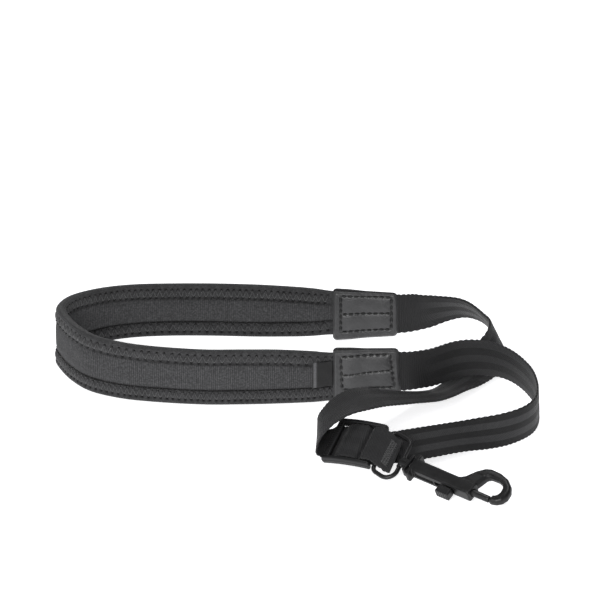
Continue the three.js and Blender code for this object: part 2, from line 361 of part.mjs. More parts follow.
function box(h0, h1, p0, p1, q0, q1) {
  const g = new THREE.BoxGeometry(h1 - h0, p1 - p0, q1 - q0);
  g.translate((h0 + h1) / 2, (p0 + p1) / 2, (q0 + q1) / 2);
  return g;
}
{
  // link: four straight sides and round corners
  const C = [[-11.6, 17.3], [-4.9, -12.6], [11.7, -15.5], [4.8, 15.1]], R = [3.6, 4.5, 6, 4.5];
  const path = [];
  for (let i = 0; i < 4; i++) {
    const a = new THREE.Vector2(...C[(i + 3) % 4]), b = new THREE.Vector2(...C[i]), c = new THREE.Vector2(...C[(i + 1) % 4]);
    const d1 = a.clone().sub(b).normalize(), d2 = c.clone().sub(b).normalize(), half = Math.acos(d1.dot(d2)) / 2;
    const t = R[i] / Math.tan(half), p1 = b.clone().addScaledVector(d1, t), p2 = b.clone().addScaledVector(d2, t);
    const cc = b.clone().add(d1.clone().add(d2).normalize().multiplyScalar(R[i] / Math.sin(half)));
    const a1 = Math.atan2(p1.y - cc.y, p1.x - cc.x); let da = Math.atan2(p2.y - cc.y, p2.x - cc.x) - a1;
    while (da > Math.PI) da -= 2 * Math.PI; while (da < -Math.PI) da += 2 * Math.PI;
    for (let k = 0; k <= 5; k++) path.push([cc.x + R[i] * Math.cos(a1 + da * k / 5), cc.y + R[i] * Math.sin(a1 + da * k / 5)]);
  }
  const n = path.length, r = RING_WIRE / 2;
  const rings = path.map((p, i) => {
    const a = path[(i + n - 1) % n], b = path[(i + 1) % n], t = new THREE.Vector2(b[0] - a[0], b[1] - a[1]).normalize();
    return Array.from({ length: 8 }, (_, j) => { const w = (j + 0.5) * Math.PI / 4;
      return V(p[0] + t.y * r * Math.cos(w), p[1] - t.x * r * Math.cos(w), r * Math.sin(w)); });
  });
  let eye = toManifold(loft(rings, null, true));
  eye = eye.add(toManifold(discs([[8.2, NECK_D / 2], [14, NECK_D / 2], [14, POST_D / 2], [25.3, POST_D / 2], [25.3, HEAD_D / 2], [27.5, HEAD_D / 2]])));
  eye = eye.add(toManifold(plate(13.4, 15.4, ...FLANGE)));
  const g = fromManifold(eye); g.applyMatrix4(hookMat);
  addMesh('swivel_eye', g, 0x141415, 0.3);
}
{
  const bw = BODY_W / 2, bt = BODY_T / 2, c = 1.4;
  const sec = [[-bw, -bt + c], [-bw + c, -bt], [bw - c, -bt], [bw, -bt + c], [bw, bt - c], [bw - c, bt], [-bw + c, bt], [-bw, bt - c]];
  const at = (h, s) => sec.map(([p, q]) => V(h, p * s, q * s));
  let hook = toManifold(loft([at(19, 1), at(61.5, 1), at(62.8, 0.86)], sec));
  hook = hook.add(toManifold(plate(17, 19.7, ...COLLAR)));
  const outline = [[48.5, 2.5], [49.3, 5.0], [52.5, 7.2], [54.4, 10.2], [56.4, 13.2], [60.3, 17.2], [64, 18.7], [70.8, 18.6], [77.4, 16.8], [82.3, 13.2],
    [84.7, 9.4], [85.2, 5.0], [83.7, 1.3], [80.9, -1.0], [77.9, -2.0], [75.6, -2.0], [75.6, 3.0], [76.8, 3.1], [78.0, 4.0], [78.8, 6.2], [78.2, 9.6], [76.5, 11.9],
    [72.6, 13.2], [66.7, 13.0], [65, 12.1], [63.6, 7.5], [62.6, 4.6], [62.2, 3.4], [60, 3.0]];
  const t = ARM_T / 2, count = outline.length;
  // round-edged plate: the outline pulled in at both faces
  const pulled = d => outline.map((p, i) => {
    const a = outline[(i + count - 1) % count], b = outline[(i + 1) % count];
    const d1 = new THREE.Vector2(p[0] - a[0], p[1] - a[1]).normalize(), d2 = new THREE.Vector2(b[0] - p[0], b[1] - p[1]).normalize();
    const n1 = new THREE.Vector2(d1.y, -d1.x), n2 = new THREE.Vector2(d2.y, -d2.x), m = n1.clone().add(n2), l = Math.max(0.5, m.lengthSq() / 2);
    return [p[0] + m.x / 2 / l * d, p[1] + m.y / 2 / l * d];
  });
  const lay = (d, q) => pulled(d).map(([h, p]) => V(h, p, q));
  hook = hook.add(toManifold(loft([lay(1.3, -t), lay(0.45, -t + 0.7), lay(0, -t + 1.7), lay(0, t - 1.7), lay(0.45, t - 0.7), lay(1.3, t)], outline)));
  hook = hook.subtract(toManifold(discs([[15, POST_D / 2 + GAP], [25, POST_D / 2 + GAP], [25, HEAD_D / 2 + GAP], [28.6, HEAD_D / 2 + GAP]])));
  hook = hook.subtract(toManifold(discs([[30, PIN_D / 2 + GAP], [68, PIN_D / 2 + GAP]], 12, PIN_P)));
  hook = hook.subtract(toManifold(box(36.5, 51.5, -6, PIN_P, -1.7, 1.7)));
  const g = fromManifold(hook); g.applyMatrix4(hookMat);
  addMesh('hook_body', g, 0x151516, 0.32);
}
{
  const r = PIN_D / 2;
  const g = discs([[46, r], [74.5, r], [75.3, r - 0.6]], 12, PIN_P); g.applyMatrix4(hookMat);
  addMesh('plunger_pin', g, 0x181819, 0.3);
  let b = toManifold(box(46.5, 50.5, -5.6, PIN_P - r - GAP, -1.3, 1.3));
  const cap = [[-3.0, -2.2], [-2.2, -3.0], [2.2, -3.0], [3.0, -2.2], [3.0, 2.2], [2.2, 3.0], [-2.2, 3.0], [-3.0, 2.2]];
  const capAt = (p, s) => cap.map(([q, h]) => V(46 + h * 5 / 3 * s, p, q * s));
  b = b.add(toManifold(loft([capAt(-5.1, 1), capAt(-9.6, 1), capAt(-10.3, 0.86)], cap)));
  const gb = fromManifold(b); gb.applyMatrix4(hookMat);
  addMesh('thumb_button', gb, 0x161617, 0.35);
  const turns = 7, steps = turns * 10, rings = [];
  for (let i = 0; i <= steps; i++) {
    const a = i / 10 * 2 * Math.PI, h = lerp(30.7, 45.3, i / steps), R = 1.65, w = 0.27;
    rings.push(Array.from({ length: 5 }, (_, j) => { const e = j * 2 * Math.PI / 5, rr = R + w * Math.cos(e);
      return V(h + w * Math.sin(e), PIN_P + rr * Math.cos(a), rr * Math.sin(a)); }));
  }
  const gs = loft(rings, Array.from({ length: 5 }, (_, j) => [Math.cos(j * 2 * Math.PI / 5), Math.sin(j * 2 * Math.PI / 5)]));
  gs.applyMatrix4(hookMat);
  addMesh('plunger_spring', gs, 0x8a8b8e, 0.3, 1);
}

export default group;
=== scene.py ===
import math

import bpy
import numpy as np
from mathutils import Matrix, Vector
from mathutils.geometry import tessellate_polygon


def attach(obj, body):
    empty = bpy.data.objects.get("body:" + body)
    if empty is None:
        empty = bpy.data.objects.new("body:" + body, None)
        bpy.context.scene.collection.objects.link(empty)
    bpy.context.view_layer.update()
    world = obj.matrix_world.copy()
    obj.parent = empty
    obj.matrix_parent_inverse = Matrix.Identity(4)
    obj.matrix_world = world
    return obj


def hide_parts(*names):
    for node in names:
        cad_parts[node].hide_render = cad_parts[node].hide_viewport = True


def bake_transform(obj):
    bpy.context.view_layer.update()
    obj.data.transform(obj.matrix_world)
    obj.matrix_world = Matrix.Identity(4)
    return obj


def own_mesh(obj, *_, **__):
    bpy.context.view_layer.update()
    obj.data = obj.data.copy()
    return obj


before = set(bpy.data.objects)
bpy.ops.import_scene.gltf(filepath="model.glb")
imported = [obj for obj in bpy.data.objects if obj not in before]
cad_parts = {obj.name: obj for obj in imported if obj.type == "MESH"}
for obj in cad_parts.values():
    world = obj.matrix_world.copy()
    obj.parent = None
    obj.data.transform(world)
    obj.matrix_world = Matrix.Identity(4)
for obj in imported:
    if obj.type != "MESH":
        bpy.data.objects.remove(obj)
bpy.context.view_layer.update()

# Everything below is written in the strap's own millimetres; SH and /1000 bring it to the row frame.
SH = np.array([1.655, 25.034, 0.0])
SCENE = bpy.context.scene


def V3(*a):
    return np.array(a, float)


def row(p):
    return (np.asarray(p, float) + SH) / 1000


def lerp(a, b, t):
    return a + (b - a) * t


def sstep(a, b, x):
    t = np.clip((np.asarray(x, float) - a) / (b - a), 0, 1)
    return t * t * (3 - 2 * t)


def unit(a):
    return a / np.maximum(np.linalg.norm(a, axis=-1, keepdims=True), 1e-12)


def ripple(x, y, scale, seed):
    """Smooth seeded unevenness from about -1 to 1."""
    r = np.random.default_rng(seed)
    out = np.zeros(np.broadcast(x, y).shape)
    for _ in range(7):
        a = r.uniform(0, 2 * math.pi)
        f = 2 * math.pi / (scale * r.uniform(0.6, 1.8))
        out = out + np.sin((x * math.cos(a) + y * math.sin(a)) * f + r.uniform(0, 7))
    return out / 3.2


def curve(rows, step):
    """Centripetal curve through the rows' points, evenly spaced, with each row's other numbers carried along."""
    rows = np.array(rows, float)
    P, E = rows[:, :3], rows[:, 3:]
    n = len(P) - 1
    Q = np.vstack([2 * P[0] - P[1], P, 2 * P[-1] - P[-2]])
    out = []
    for i in range(n):
        x0, x1, x2, x3 = Q[i], Q[i + 1], Q[i + 2], Q[i + 3]
        d0, d1, d2 = (max(np.linalg.norm(b - a), 1e-6) ** 0.5 for a, b in ((x0, x1), (x1, x2), (x2, x3)))
        t1 = ((x1 - x0) / d0 - (x2 - x0) / (d0 + d1) + (x2 - x1) / d1) * d1
        t2 = ((x2 - x1) / d1 - (x3 - x1) / (d1 + d2) + (x3 - x2) / d2) * d1
        k = max(3, math.ceil(np.linalg.norm(x2 - x1) / 0.2))
        t = (np.arange(k) / k)[:, None]
        p = x1 + t1 * t + (-3 * x1 + 3 * x2 - 2 * t1 - t2) * t**2 + (2 * x1 - 2 * x2 + t1 + t2) * t**3
        a, b, c, d = E[max(0, i - 1)], E[i], E[i + 1], E[min(n, i + 2)]
        m0, m1 = (c - a) / 2, (d - b) / 2
        e = (2 * t**3 - 3 * t**2 + 1) * b + (t**3 - 2 * t**2 + t) * m0 + (-2 * t**3 + 3 * t**2) * c + (t**3 - t**2) * m1
        out.append(np.hstack([p, e]))
    out.append(rows[-1:])
    D = np.vstack(out)
    L = np.concatenate([[0], np.cumsum(np.linalg.norm(np.diff(D[:, :3], axis=0), axis=1))])
    at = np.linspace(0, L[-1], max(3, round(L[-1] / step) + 1))
    return np.stack([np.interp(at, L, D[:, k]) for k in range(D.shape[1])], 1), at


# ------------------------------------------------------------------ meshes
def add(name, verts, faces, mat, attrs=None, fix=True):
    me = bpy.data.meshes.new(name)
    me.from_pydata(row(verts).tolist(), [], faces)
    me.update()
    ob = bpy.data.objects.new(name, me)
    SCENE.collection.objects.link(ob)
    if fix:
        import bmesh

        bm = bmesh.new()
        bm.from_mesh(me)
        bmesh.ops.recalc_face_normals(bm, faces=bm.faces)
        bm.to_mesh(me)
        bm.free()
    for key, val in (attrs or {}).items():
        val = np.asarray(val, np.float32)
        if val.ndim == 1:
            me.attributes.new(key, "FLOAT", "POINT").data.foreach_set("value", val)
        else:
            me.attributes.new(key, "FLOAT_VECTOR", "POINT").data.foreach_set("vector", val.reshape(-1))
    me.polygons.foreach_set("use_smooth", [True] * len(me.polygons))
    if mat:
        me.materials.append(mat)
    me.update()
    return ob


def ring_faces(m, n, loop=False, flat=None):
    """Quads joining m rings of n points, and end caps cut from the flat outline of a ring."""
    i, j = np.meshgrid(np.arange(m if loop else m - 1), np.arange(n), indexing="ij")
    i, j = i.ravel(), j.ravel()
    i2, j2 = (i + 1) % m, (j + 1) % n
    f = np.stack([i * n + j, i * n + j2, i2 * n + j2, i2 * n + j], 1).tolist()
    if not loop:
        if flat is None:
            f += [list(range(n))[::-1], list(range((m - 1) * n, m * n))]
        else:
            o = (m - 1) * n
            for a, b, c in tessellate_polygon([[Vector((p[0], p[1], 0)) for p in flat]]):
                f += [[a, c, b], [o + a, o + b, o + c]]
    return f


def flat_sharp(ob, angle=40):
    """Smooth shading that keeps edges sharper than the angle."""
    ob.data.set_sharp_from_angle(angle=math.radians(angle))
    return ob


def threads(name, A, B, N, r, lift, dip, mat, sides=7, segs=7):
    """Many short threads, each from A to B over a surface with normal N, dipping into it at both ends."""
    A, B, N = (np.asarray(x, float) for x in (A, B, N))
    t = np.linspace(0, 1, segs + 1)
    up = -dip + (lift + dip) * np.sin(math.pi * t) ** 0.55
    P = A[:, None] * (1 - t)[None, :, None] + B[:, None] * t[None, :, None] + N[:, None] * up[None, :, None]
    T = unit(np.gradient(P, axis=1))
    S = unit(np.cross(T, N[:, None]))
    U = np.cross(S, T)
    rad = r * (0.55 + 0.45 * np.sin(math.pi * t) ** 0.5)
    a = np.arange(sides) * 2 * math.pi / sides
    Vx = P[:, :, None] + rad[None, :, None, None] * (
        np.cos(a)[None, None, :, None] * S[:, :, None] + np.sin(a)[None, None, :, None] * U[:, :, None])
    K, M = len(A), segs + 1
    one = np.array(ring_faces(M, sides)[: (M - 1) * sides])
    faces = (one[None] + (np.arange(K) * M * sides)[:, None, None]).reshape(-1, 4).tolist()
    for k in range(K):
        o = k * M * sides
        faces.append([o + i for i in range(sides)][::-1])
        faces.append([o + (M - 1) * sides + i for i in range(sides)])
    L = np.linalg.norm(B - A, axis=1)
    uvw = np.stack(np.broadcast_arrays((t[None, :] * L[:, None])[:, :, None], a[None, None, :], np.arange(K)[:, None, None] * 0.37), -1)
    return add(name, Vx.reshape(-1, 3), faces, mat, {"uvw": uvw.reshape(-1, 3)}, fix=False)


def fuse(name, shells, voxel, mat, cutters=(), smooth=4, again=None):
    """Overlapping closed shells melted into one moulded body: fine voxel remesh, cuts, a light smoothing of the edges."""
    vs, fs, o = [], [], 0
    for v, f in shells:
        vs.append(np.asarray(v, float).reshape(-1, 3))
        fs += [[i + o for i in q] for q in f]
        o += len(vs[-1])
    ob = add(name + "_raw", np.vstack(vs), fs, None)
    r = ob.modifiers.new("r", "REMESH")
    r.mode, r.voxel_size, r.adaptivity = "VOXEL", voxel / 1000, 0
    tmp = []
    for v, f in cutters:
        c = add(name + "_cut", np.asarray(v, float).reshape(-1, 3), f, None)
        b = ob.modifiers.new("b", "BOOLEAN")
        b.operation, b.solver, b.object = "DIFFERENCE", "EXACT", c
        tmp.append(c)
    if cutters:
        r = ob.modifiers.new("r2", "REMESH")
        r.mode, r.voxel_size, r.adaptivity = "VOXEL", (again or voxel) / 1000, 0
    if smooth:
        s = ob.modifiers.new("s", "SMOOTH")
        s.factor, s.iterations = 0.5, smooth
    dg = bpy.context.evaluated_depsgraph_get()
    me = bpy.data.meshes.new_from_object(ob.evaluated_get(dg))
    for x in [ob, *tmp]:
        bpy.data.objects.remove(x)
    me.name = name
    out = bpy.data.objects.new(name, me)
    SCENE.collection.objects.link(out)
    me.materials.clear()
    me.materials.append(mat)
    me.polygons.foreach_set("use_smooth", [True] * len(me.polygons))
    co = np.zeros(len(me.vertices) * 3, np.float32)
    me.vertices.foreach_get("co", co)
    print(name, "points", len(me.vertices))
    return out


# ------------------------------------------------------------------ materials
class Mat:
    """Short way to write a node material."""

    def __init__(self, name, rough=0.5, spec=0.5):
        self.m = bpy.data.materials.new(name)
        self.m.use_nodes = True
        self.t = self.m.node_tree
        self.b = self.t.nodes["Principled BSDF"]
        self.put("Roughness", rough)
        self.put("Specular IOR Level", spec)

    def put(self, name, value):
        s = self.b.inputs[name]
        if hasattr(value, "links"):
            self.t.links.new(value, s)
        else:
            s.default_value = value

    def node(self, kind, out=0, **ins):
        n = self.t.nodes.new(kind)
        for k, v in ins.items():
            if k.startswith("i_"):
                s = n.inputs[int(k[2:])]
                if hasattr(v, "links"):
                    self.t.links.new(v, s)
                else:
                    s.default_value = v
            else:
                setattr(n, k, v)
        return n.outputs[out]

    def math(self, op, a, b=0.0, c=0.0, clamp=False):
        return self.node("ShaderNodeMath", operation=op, use_clamp=clamp, i_0=a, i_1=b, i_2=c)

    def attr(self, name="uvw"):
        n = self.t.nodes.new("ShaderNodeAttribute")
        n.attribute_name = name
        return n

    def uvw(self, name="uvw"):
        v = self.attr(name).outputs["Vector"]
        n = self.t.nodes.new("ShaderNodeSeparateXYZ")
        self.t.links.new(v, n.inputs[0])
        return v, n.outputs[0], n.outputs[1], n.outputs[2]

    def pos(self):
        return self.node("ShaderNodeTexCoord", out=3)

    def noise(self, vec, scale, detail=3.0, rough=0.5):
        n = self.t.nodes.new("ShaderNodeTexNoise")
        self.t.links.new(vec, n.inputs["Vector"])
        n.inputs["Scale"].default_value = scale
        n.inputs["Detail"].default_value = detail
        n.inputs["Roughness"].default_value = rough
        return n.outputs[0]

    def voronoi(self, vec, scale, feature="F1"):
        n = self.t.nodes.new("ShaderNodeTexVoronoi")
        n.feature = feature
        self.t.links.new(vec, n.inputs["Vector"])
        n.inputs["Scale"].default_value = scale
        return n.outputs["Distance"]

    def ramp(self, x, stops):
        n = self.t.nodes.new("ShaderNodeValToRGB")
        self.t.links.new(x, n.inputs[0])
        e = n.color_ramp.elements
        while len(e) < len(stops):
            e.new(0.5)
        for el, (p, c) in zip(e, stops):
            el.position = p
            el.color = (*c, 1) if hasattr(c, "__len__") else (c, c, c * 1.03, 1)
        return n.outputs[0]

    def mix(self, f, a, b, blend="MIX"):
        n = self.t.nodes.new("ShaderNodeMix")
        n.data_type, n.blend_type = "RGBA", blend
        for s, v in ((n.inputs[0], f), (n.inputs[6], a), (n.inputs[7], b)):
            if hasattr(v, "links"):
                self.t.links.new(v, s)
            else:
                s.default_value = v if not hasattr(v, "__len__") or len(v) == 4 else (*v, 1)
        return n.outputs[2]

    def bump(self, height, dist, strength=1.0, normal=None):
        n = self.t.nodes.new("ShaderNodeBump")
        n.inputs["Strength"].default_value = strength
        n.inputs["Distance"].default_value = dist
        self.t.links.new(height, n.inputs["Height"])
        if normal is not None:
            self.t.links.new(normal, n.inputs["Normal"])
        return n.outputs[0]

    def wave(self, x, pitch, phase=None):
        """0 to 1, one period each pitch."""
        a = self.math("MULTIPLY", x, 2 * math.pi / pitch)
        if phase is not None:
            a = self.math("ADD", a, phase)
        return self.math("MULTIPLY_ADD", self.math("SINE", a), 0.5, 0.5)


def grey(c, tint=(1, 1, 1.04)):
    return (c * tint[0], c * tint[1], c * tint[2], 1)


# Painted shade: multiplies the colour darker by a point attribute that marks needle holes, stitch dimples and the
# grooves where the knit strip meets the bindings
def paint_recess_shade(M, col, key="recess_shade", amount=0.97):
    h = M.attr(key).outputs["Fac"]
    k = M.math("SUBTRACT", 1.0, M.math("MULTIPLY", h, amount), clamp=True)
    n = M.t.nodes.new("ShaderNodeMix")
    n.data_type, n.blend_type = "RGBA", "MULTIPLY"
    n.inputs[0].default_value = 1
    M.t.links.new(col, n.inputs[6])
    c = M.node("ShaderNodeCombineColor", i_0=k, i_1=k, i_2=k)
    M.t.links.new(c, n.inputs[7])
    return n.outputs[2]


def m_knit():
    M = Mat("knit_strip", 0.92, 0.18)
    v, s, z, _ = M.uvw()
    n1 = M.noise(v, 0.16, 4)
    n2 = M.noise(v, 0.95, 3)
    rib = M.wave(s, 1.25)
    f = M.math("MULTIPLY_ADD", rib, 0.16, M.math("MULTIPLY", n2, 0.86))
    col = M.ramp(f, [(0.25, KNIT * 0.35), (0.5, KNIT * 0.9), (0.78, KNIT * 2.1)])
    col = M.mix(M.math("MULTIPLY", n1, 0.4), col, grey(KNIT * 1.3))
    # painted shade in the grooves along the strip's edges
    M.put("Base Color", paint_recess_shade(M, col))
    M.put("Sheen Weight", 0.12)
    M.put("Sheen Roughness", 0.5)
    st = M.wave(z, 0.8, M.math("MULTIPLY", s, 2.5))
    h = M.math("ADD", M.math("MULTIPLY", st, 0.4), M.math("MULTIPLY", n2, 0.8))
    M.put("Normal", M.bump(h, 0.00025, 0.7))
    return M.m


def m_binding():
    M = Mat("stretch_binding", 0.9, 0.18)
    v, s, z, _ = M.uvw()
    n1, n2 = M.noise(v, 0.2, 4), M.noise(v, 1.0, 3)
    w = M.math("MULTIPLY", M.wave(s, 0.7), M.wave(z, 0.55))
    col = M.ramp(M.math("MULTIPLY_ADD", n1, 0.35, M.math("MULTIPLY", n2, 0.65)), [(0.27, BIND * 0.45), (0.5, BIND), (0.75, BIND * 1.9)])
    # painted shade in the needle holes and along the raw edge
    M.put("Base Color", paint_recess_shade(M, col))
    M.put("Sheen Weight", 0.12)
    M.put("Sheen Roughness", 0.45)
    M.put("Normal", M.bump(M.math("ADD", w, M.math("MULTIPLY", n2, 0.7)), 0.00022, 0.65))
    return M.m


def m_thread(name, c, rough=0.6):
    M = Mat(name, rough, 0.4)
    v, s, a, k = M.uvw()
    tw = M.wave(M.math("MULTIPLY_ADD", a, 0.14, s), 0.9)
    col = M.ramp(M.math("MULTIPLY_ADD", M.noise(v, 1.6, 2), 0.6, M.math("MULTIPLY", tw, 0.4)), [(0.2, c * 0.6), (0.5, c), (0.85, c * 1.4)])
    M.put("Base Color", col)
    M.put("Sheen Weight", 0.2)
    M.put("Normal", M.bump(tw, 0.0002, 0.6))
    return M.m


def m_leather():
    M = Mat("tab_leather", 0.4, 0.5)
    v, s, z, _ = M.uvw()
    cells = M.voronoi(v, 0.85, "DISTANCE_TO_EDGE")
    fine = M.noise(v, 2.6, 4, 0.6)
    big = M.noise(v, 0.12, 3)
    g = M.ramp(cells, [(0.0, 0.0), (0.18, 0.9), (1.0, 1.0)])
    col = M.ramp(M.math("MULTIPLY_ADD", big, 0.6, M.math("MULTIPLY", fine, 0.4)), [(0.25, LEATHER * 0.75), (0.5, LEATHER), (0.8, LEATHER * 1.5)])
    # painted shade in the stitch dimples and along the sewn lines
    M.put("Base Color", paint_recess_shade(M, col))
    M.put("Roughness", M.math("MULTIPLY_ADD", fine, 0.22, 0.30))
    h = M.math("MULTIPLY_ADD", fine, 0.6, M.math("MULTIPLY", g, 0.5))
    M.put("Normal", M.bump(h, 0.00016, 0.55))
    M.put("Coat Weight", 0.06)
    M.put("Coat Roughness", 0.5)
    return M.m


def m_label():
    M = Mat("satin_label", 0.38, 0.3)
    v, s, z, _ = M.uvw()
    n = M.noise(v, 1.1, 3)
    w = M.math("MULTIPLY", M.wave(z, 0.35), M.wave(s, 0.5))
    base = M.ramp(M.math("MULTIPLY_ADD", n, 0.7, M.math("MULTIPLY", w, 0.3)), [(0.2, 0.003), (0.6, 0.006), (0.9, 0.016)])
    # Painted highlight: a pale band along the fold stands in for the satin's shine on the folded edge.
    fold = M.math("SUBTRACT", 1.0, M.math("MINIMUM", M.math("MULTIPLY", M.math("ABSOLUTE", M.math("SUBTRACT", s, 8.9)), 0.7), 1.0))
    M.put("Base Color", M.mix(M.math("MULTIPLY", fold, M.math("MULTIPLY_ADD", n, 0.6, 0.4)), base, grey(0.13)))
    M.put("Roughness", M.math("MULTIPLY_ADD", n, 0.2, 0.28))
    M.put("Anisotropic", 0.5)
    M.put("Sheen Weight", 0.06)
    M.put("Normal", M.bump(w, 0.0001, 0.5))
    return M.m


def m_foam():
    M = Mat("foam", 0.95, 0.2)
    p = M.pos()
    n = M.voronoi(p, 900)
    M.put("Base Color", M.ramp(n, [(0.0, 0.01), (0.6, 0.03), (1.0, 0.04)]))
    M.put("Normal", M.bump(n, 0.0003, 0.5))
    return M.m


def m_webbing():
    M = Mat("webbing", 0.62, 0.22)
    v, s, w, side = M.uvw()
    plain = M.attr("plain").outputs["Fac"]
    aw = M.math("ABSOLUTE", w)
    # five bands: 1 in the centre and edge bands, 0 in the two between
    mid = M.math("SUBTRACT", 1.0, M.math("MULTIPLY_ADD", M.math("SUBTRACT", aw, 2.35), 2.2, 0.5, clamp=True))
    edge = M.math("MULTIPLY_ADD", M.math("SUBTRACT", aw, 7.3), 2.2, 0.5, clamp=True)
    a = M.math("ADD", mid, edge, clamp=True)
    lightA = a
    lightB = M.math("SUBTRACT", 1.0, a)
    isA = M.math("GREATER_THAN", side, 0.0)
    light = M.math("ADD", M.math("MULTIPLY", M.math("MULTIPLY_ADD", lightA, 0.5, 0.1), isA), M.math("MULTIPLY", lightB, M.math("SUBTRACT", 1.0, isA)))
    light = M.math("ADD", M.math("MULTIPLY", light, M.math("SUBTRACT", 1.0, plain)), M.math("MULTIPLY", plain, 0.35))
    # weave: ribs across the webbing, crossed by warp columns that lean in the light bands
    col = M.math("MULTIPLY", M.math("FLOOR", M.math("MULTIPLY", w, 1 / 0.62)), math.pi)
    rib = M.wave(s, 1.15, M.math("MULTIPLY", col, M.math("SUBTRACT", 1.0, plain)))
    warp = M.wave(w, 0.62)
    lean = M.wave(M.math("MULTIPLY_ADD", aw, 1.0, s), 1.5)
    h = M.math("ADD", M.math("MULTIPLY", rib, 0.6), M.math("MULTIPLY", warp, 0.35))
    h = M.math("ADD", h, M.math("MULTIPLY", M.math("MULTIPLY", lean, light), 0.5))
    n1 = M.noise(v, 0.11, 3)
    n2 = M.noise(v, 1.3, 3)
    dark = M.mix(M.math("MULTIPLY_ADD", h, 0.6, M.math("MULTIPLY", n2, 0.35), clamp=True), grey(WEB_D * 0.45), grey(WEB_D * 1.45))
    pale = M.mix(M.math("MULTIPLY_ADD", h, 0.6, M.math("MULTIPLY", n2, 0.35), clamp=True), grey(WEB_L * 0.5), grey(WEB_L * 1.45))
    c = M.mix(light, dark, pale)
    c = M.mix(M.math("MULTIPLY", n1, 0.25), c, grey(WEB_L))
    M.put("Base Color", c)
    M.put("Roughness", M.math("MULTIPLY_ADD", light, -0.12, 0.66))
    M.put("Sheen Weight", 0.06)
    M.put("Sheen Roughness", 0.35)
    M.put("Normal", M.bump(M.math("MULTIPLY_ADD", n2, 0.3, h), 0.00028, 0.75))
    return M.m


def m_plastic(name, c, rough=0.36):
    M = Mat(name, rough, 0.27)
    p = M.pos()
    n1 = M.noise(p, 90, 4)
    n2 = M.noise(p, 1500, 2)
    M.put("Base Color", M.ramp(n1, [(0.3, c * 0.8), (0.5, c), (0.75, c * 1.35)]))
    M.put("Roughness", M.math("ADD", M.math("MULTIPLY_ADD", n1, 0.22, rough - 0.12), M.math("MULTIPLY", n2, 0.08)))
    h = M.math("MULTIPLY_ADD", n2, 0.5, M.math("MULTIPLY", n1, 0.6))
    M.put("Normal", M.bump(h, 0.00012, 0.5))
    return M.m


def m_steel():
    M = Mat("spring_steel", 0.3, 0.5)
    M.put("Metallic", 1.0)
    n = M.noise(M.pos(), 1200, 3)
    M.put("Base Color", M.ramp(n, [(0.3, 0.35), (0.7, 0.6)]))
    M.put("Roughness", M.math("MULTIPLY_ADD", n, 0.25, 0.2))
    M.put("Normal", M.bump(n, 0.00005, 0.4))
    return M.m


KNIT, BIND, LEATHER = 0.036, 0.031, 0.031
WEB_D, WEB_L = 0.0085, 0.024
mat_knit, mat_bind, mat_leather, mat_label, mat_foam = m_knit(), m_binding(), m_leather(), m_label(), m_foam()
mat_zig, mat_sew, mat_tack = m_thread("zigzag_thread", 0.030), m_thread("tab_thread", 0.006), m_thread("bartack_thread", 0.034)
mat_web = m_webbing()
mat_adj, mat_eye, mat_hook, mat_pin, mat_steel = (m_plastic("moulded_slider", 0.008, 0.40), m_plastic("moulded_link", 0.008, 0.32),
    m_plastic("moulded_hook", 0.0065, 0.34), m_plastic("moulded_pin", 0.010, 0.28), m_steel())


def give(ob, node, body):
    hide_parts(*([node] if isinstance(node, str) else node))
    if body:
        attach(ob, body)
    return ob

# ------------------------------------------------------------------ neck pad
PAD_MID = [[28, 8.0, 30.5, 15.9], [22, 7.6, 31, 15.9], [18.8, 7.25, 31.3, 16], [15.5, 6.85, 31.6, 16.2], [10, 6.2, 32.3, 16.5], [-12, 4.5, 34.4, 17.3],
  [-35, 3.4, 35.1, 17.55], [-57.7, 3.3, 35.2, 17.6], [-91.2, 7.9, 35.6, 17.8], [-107.6, 12.6, 36, 18], [-123.7, 21.9, 36.4, 18.2], [-134, 36.2, 36.5, 18.25],
  [-140.2, 51, 36.5, 18.25], [-142.4, 60, 36.5, 18.3], [-140.4, 69, 36.3, 18.4], [-135, 77, 36, 18.6], [-124, 84.6, 35.2, 18.9], [-112, 89.6, 34.4, 19.2],
  [-97, 93, 33.8, 19.3], [-77, 94.5, 33.4, 19.3], [-52, 94.5, 33.4, 19.3], [-24, 93, 33.2, 19.3], [0, 91.9, 31.5, 19.1], [10, 91.75, 30, 18.9],
  [15.5, 91.7, 29, 18.7], [18.8, 91.65, 28.5, 18.6], [22, 91.6, 28, 18.5], [28, 91.5, 27.6, 18.5]]
# raw edge of each binding and its two lines of needle holes, measured down from the pad's edge
EDGE = {"top": (8.5, 2.7, 7.2), "bottom": (9.4, 3.9, 8.2)}
PITCH = {("top", "outer"): 4.55, ("bottom", "outer"): 3.65, ("top", "inner"): 3.72, ("bottom", "inner"): 4.5}
FINE = 0.45


class Path:
    """The pad's middle line, with its outward direction, height and thickness."""

    def __init__(self, step):
        R, self.s = curve([[p[0], p[1], 0, p[2], p[3]] for p in PAD_MID], step)
        self.x, self.y, self.h = R[:, 0], R[:, 1], R[:, 3]
        self.c = np.maximum(R[:, 4], self.h / 2)
        T = unit(np.gradient(R[:, :2], axis=0))
        self.ox, self.oy = -T[:, 1], T[:, 0]
        self.th = lerp(3.0, 1.5, sstep(7, 18.5, self.x))
        self.front = self.y < 50

    def at(self, s, o, z):
        """Points at distance s along, o outward and z above the middle height."""
        g = lambda a: np.interp(s, self.s, a)
        return np.stack([g(self.x) + g(self.ox) * o, g(self.y) + g(self.oy) * o, g(self.c) + z], -1)

    def out(self, s, q):
        g = lambda a: np.interp(s, self.s, a)
        n = unit(np.stack([g(self.ox), g(self.oy)], -1)) * q
        return np.concatenate([n, np.zeros(n.shape[:-1] + (1,))], -1)


pad = Path(FINE)
LONG = pad.s[-1]
S_FRONT = np.interp(-20.0, -pad.x[pad.front], pad.s[pad.front])   # where each arm meets its tab
S_BACK = LONG - (LONG - np.interp(20.0, pad.x[~pad.front], pad.s[~pad.front]))


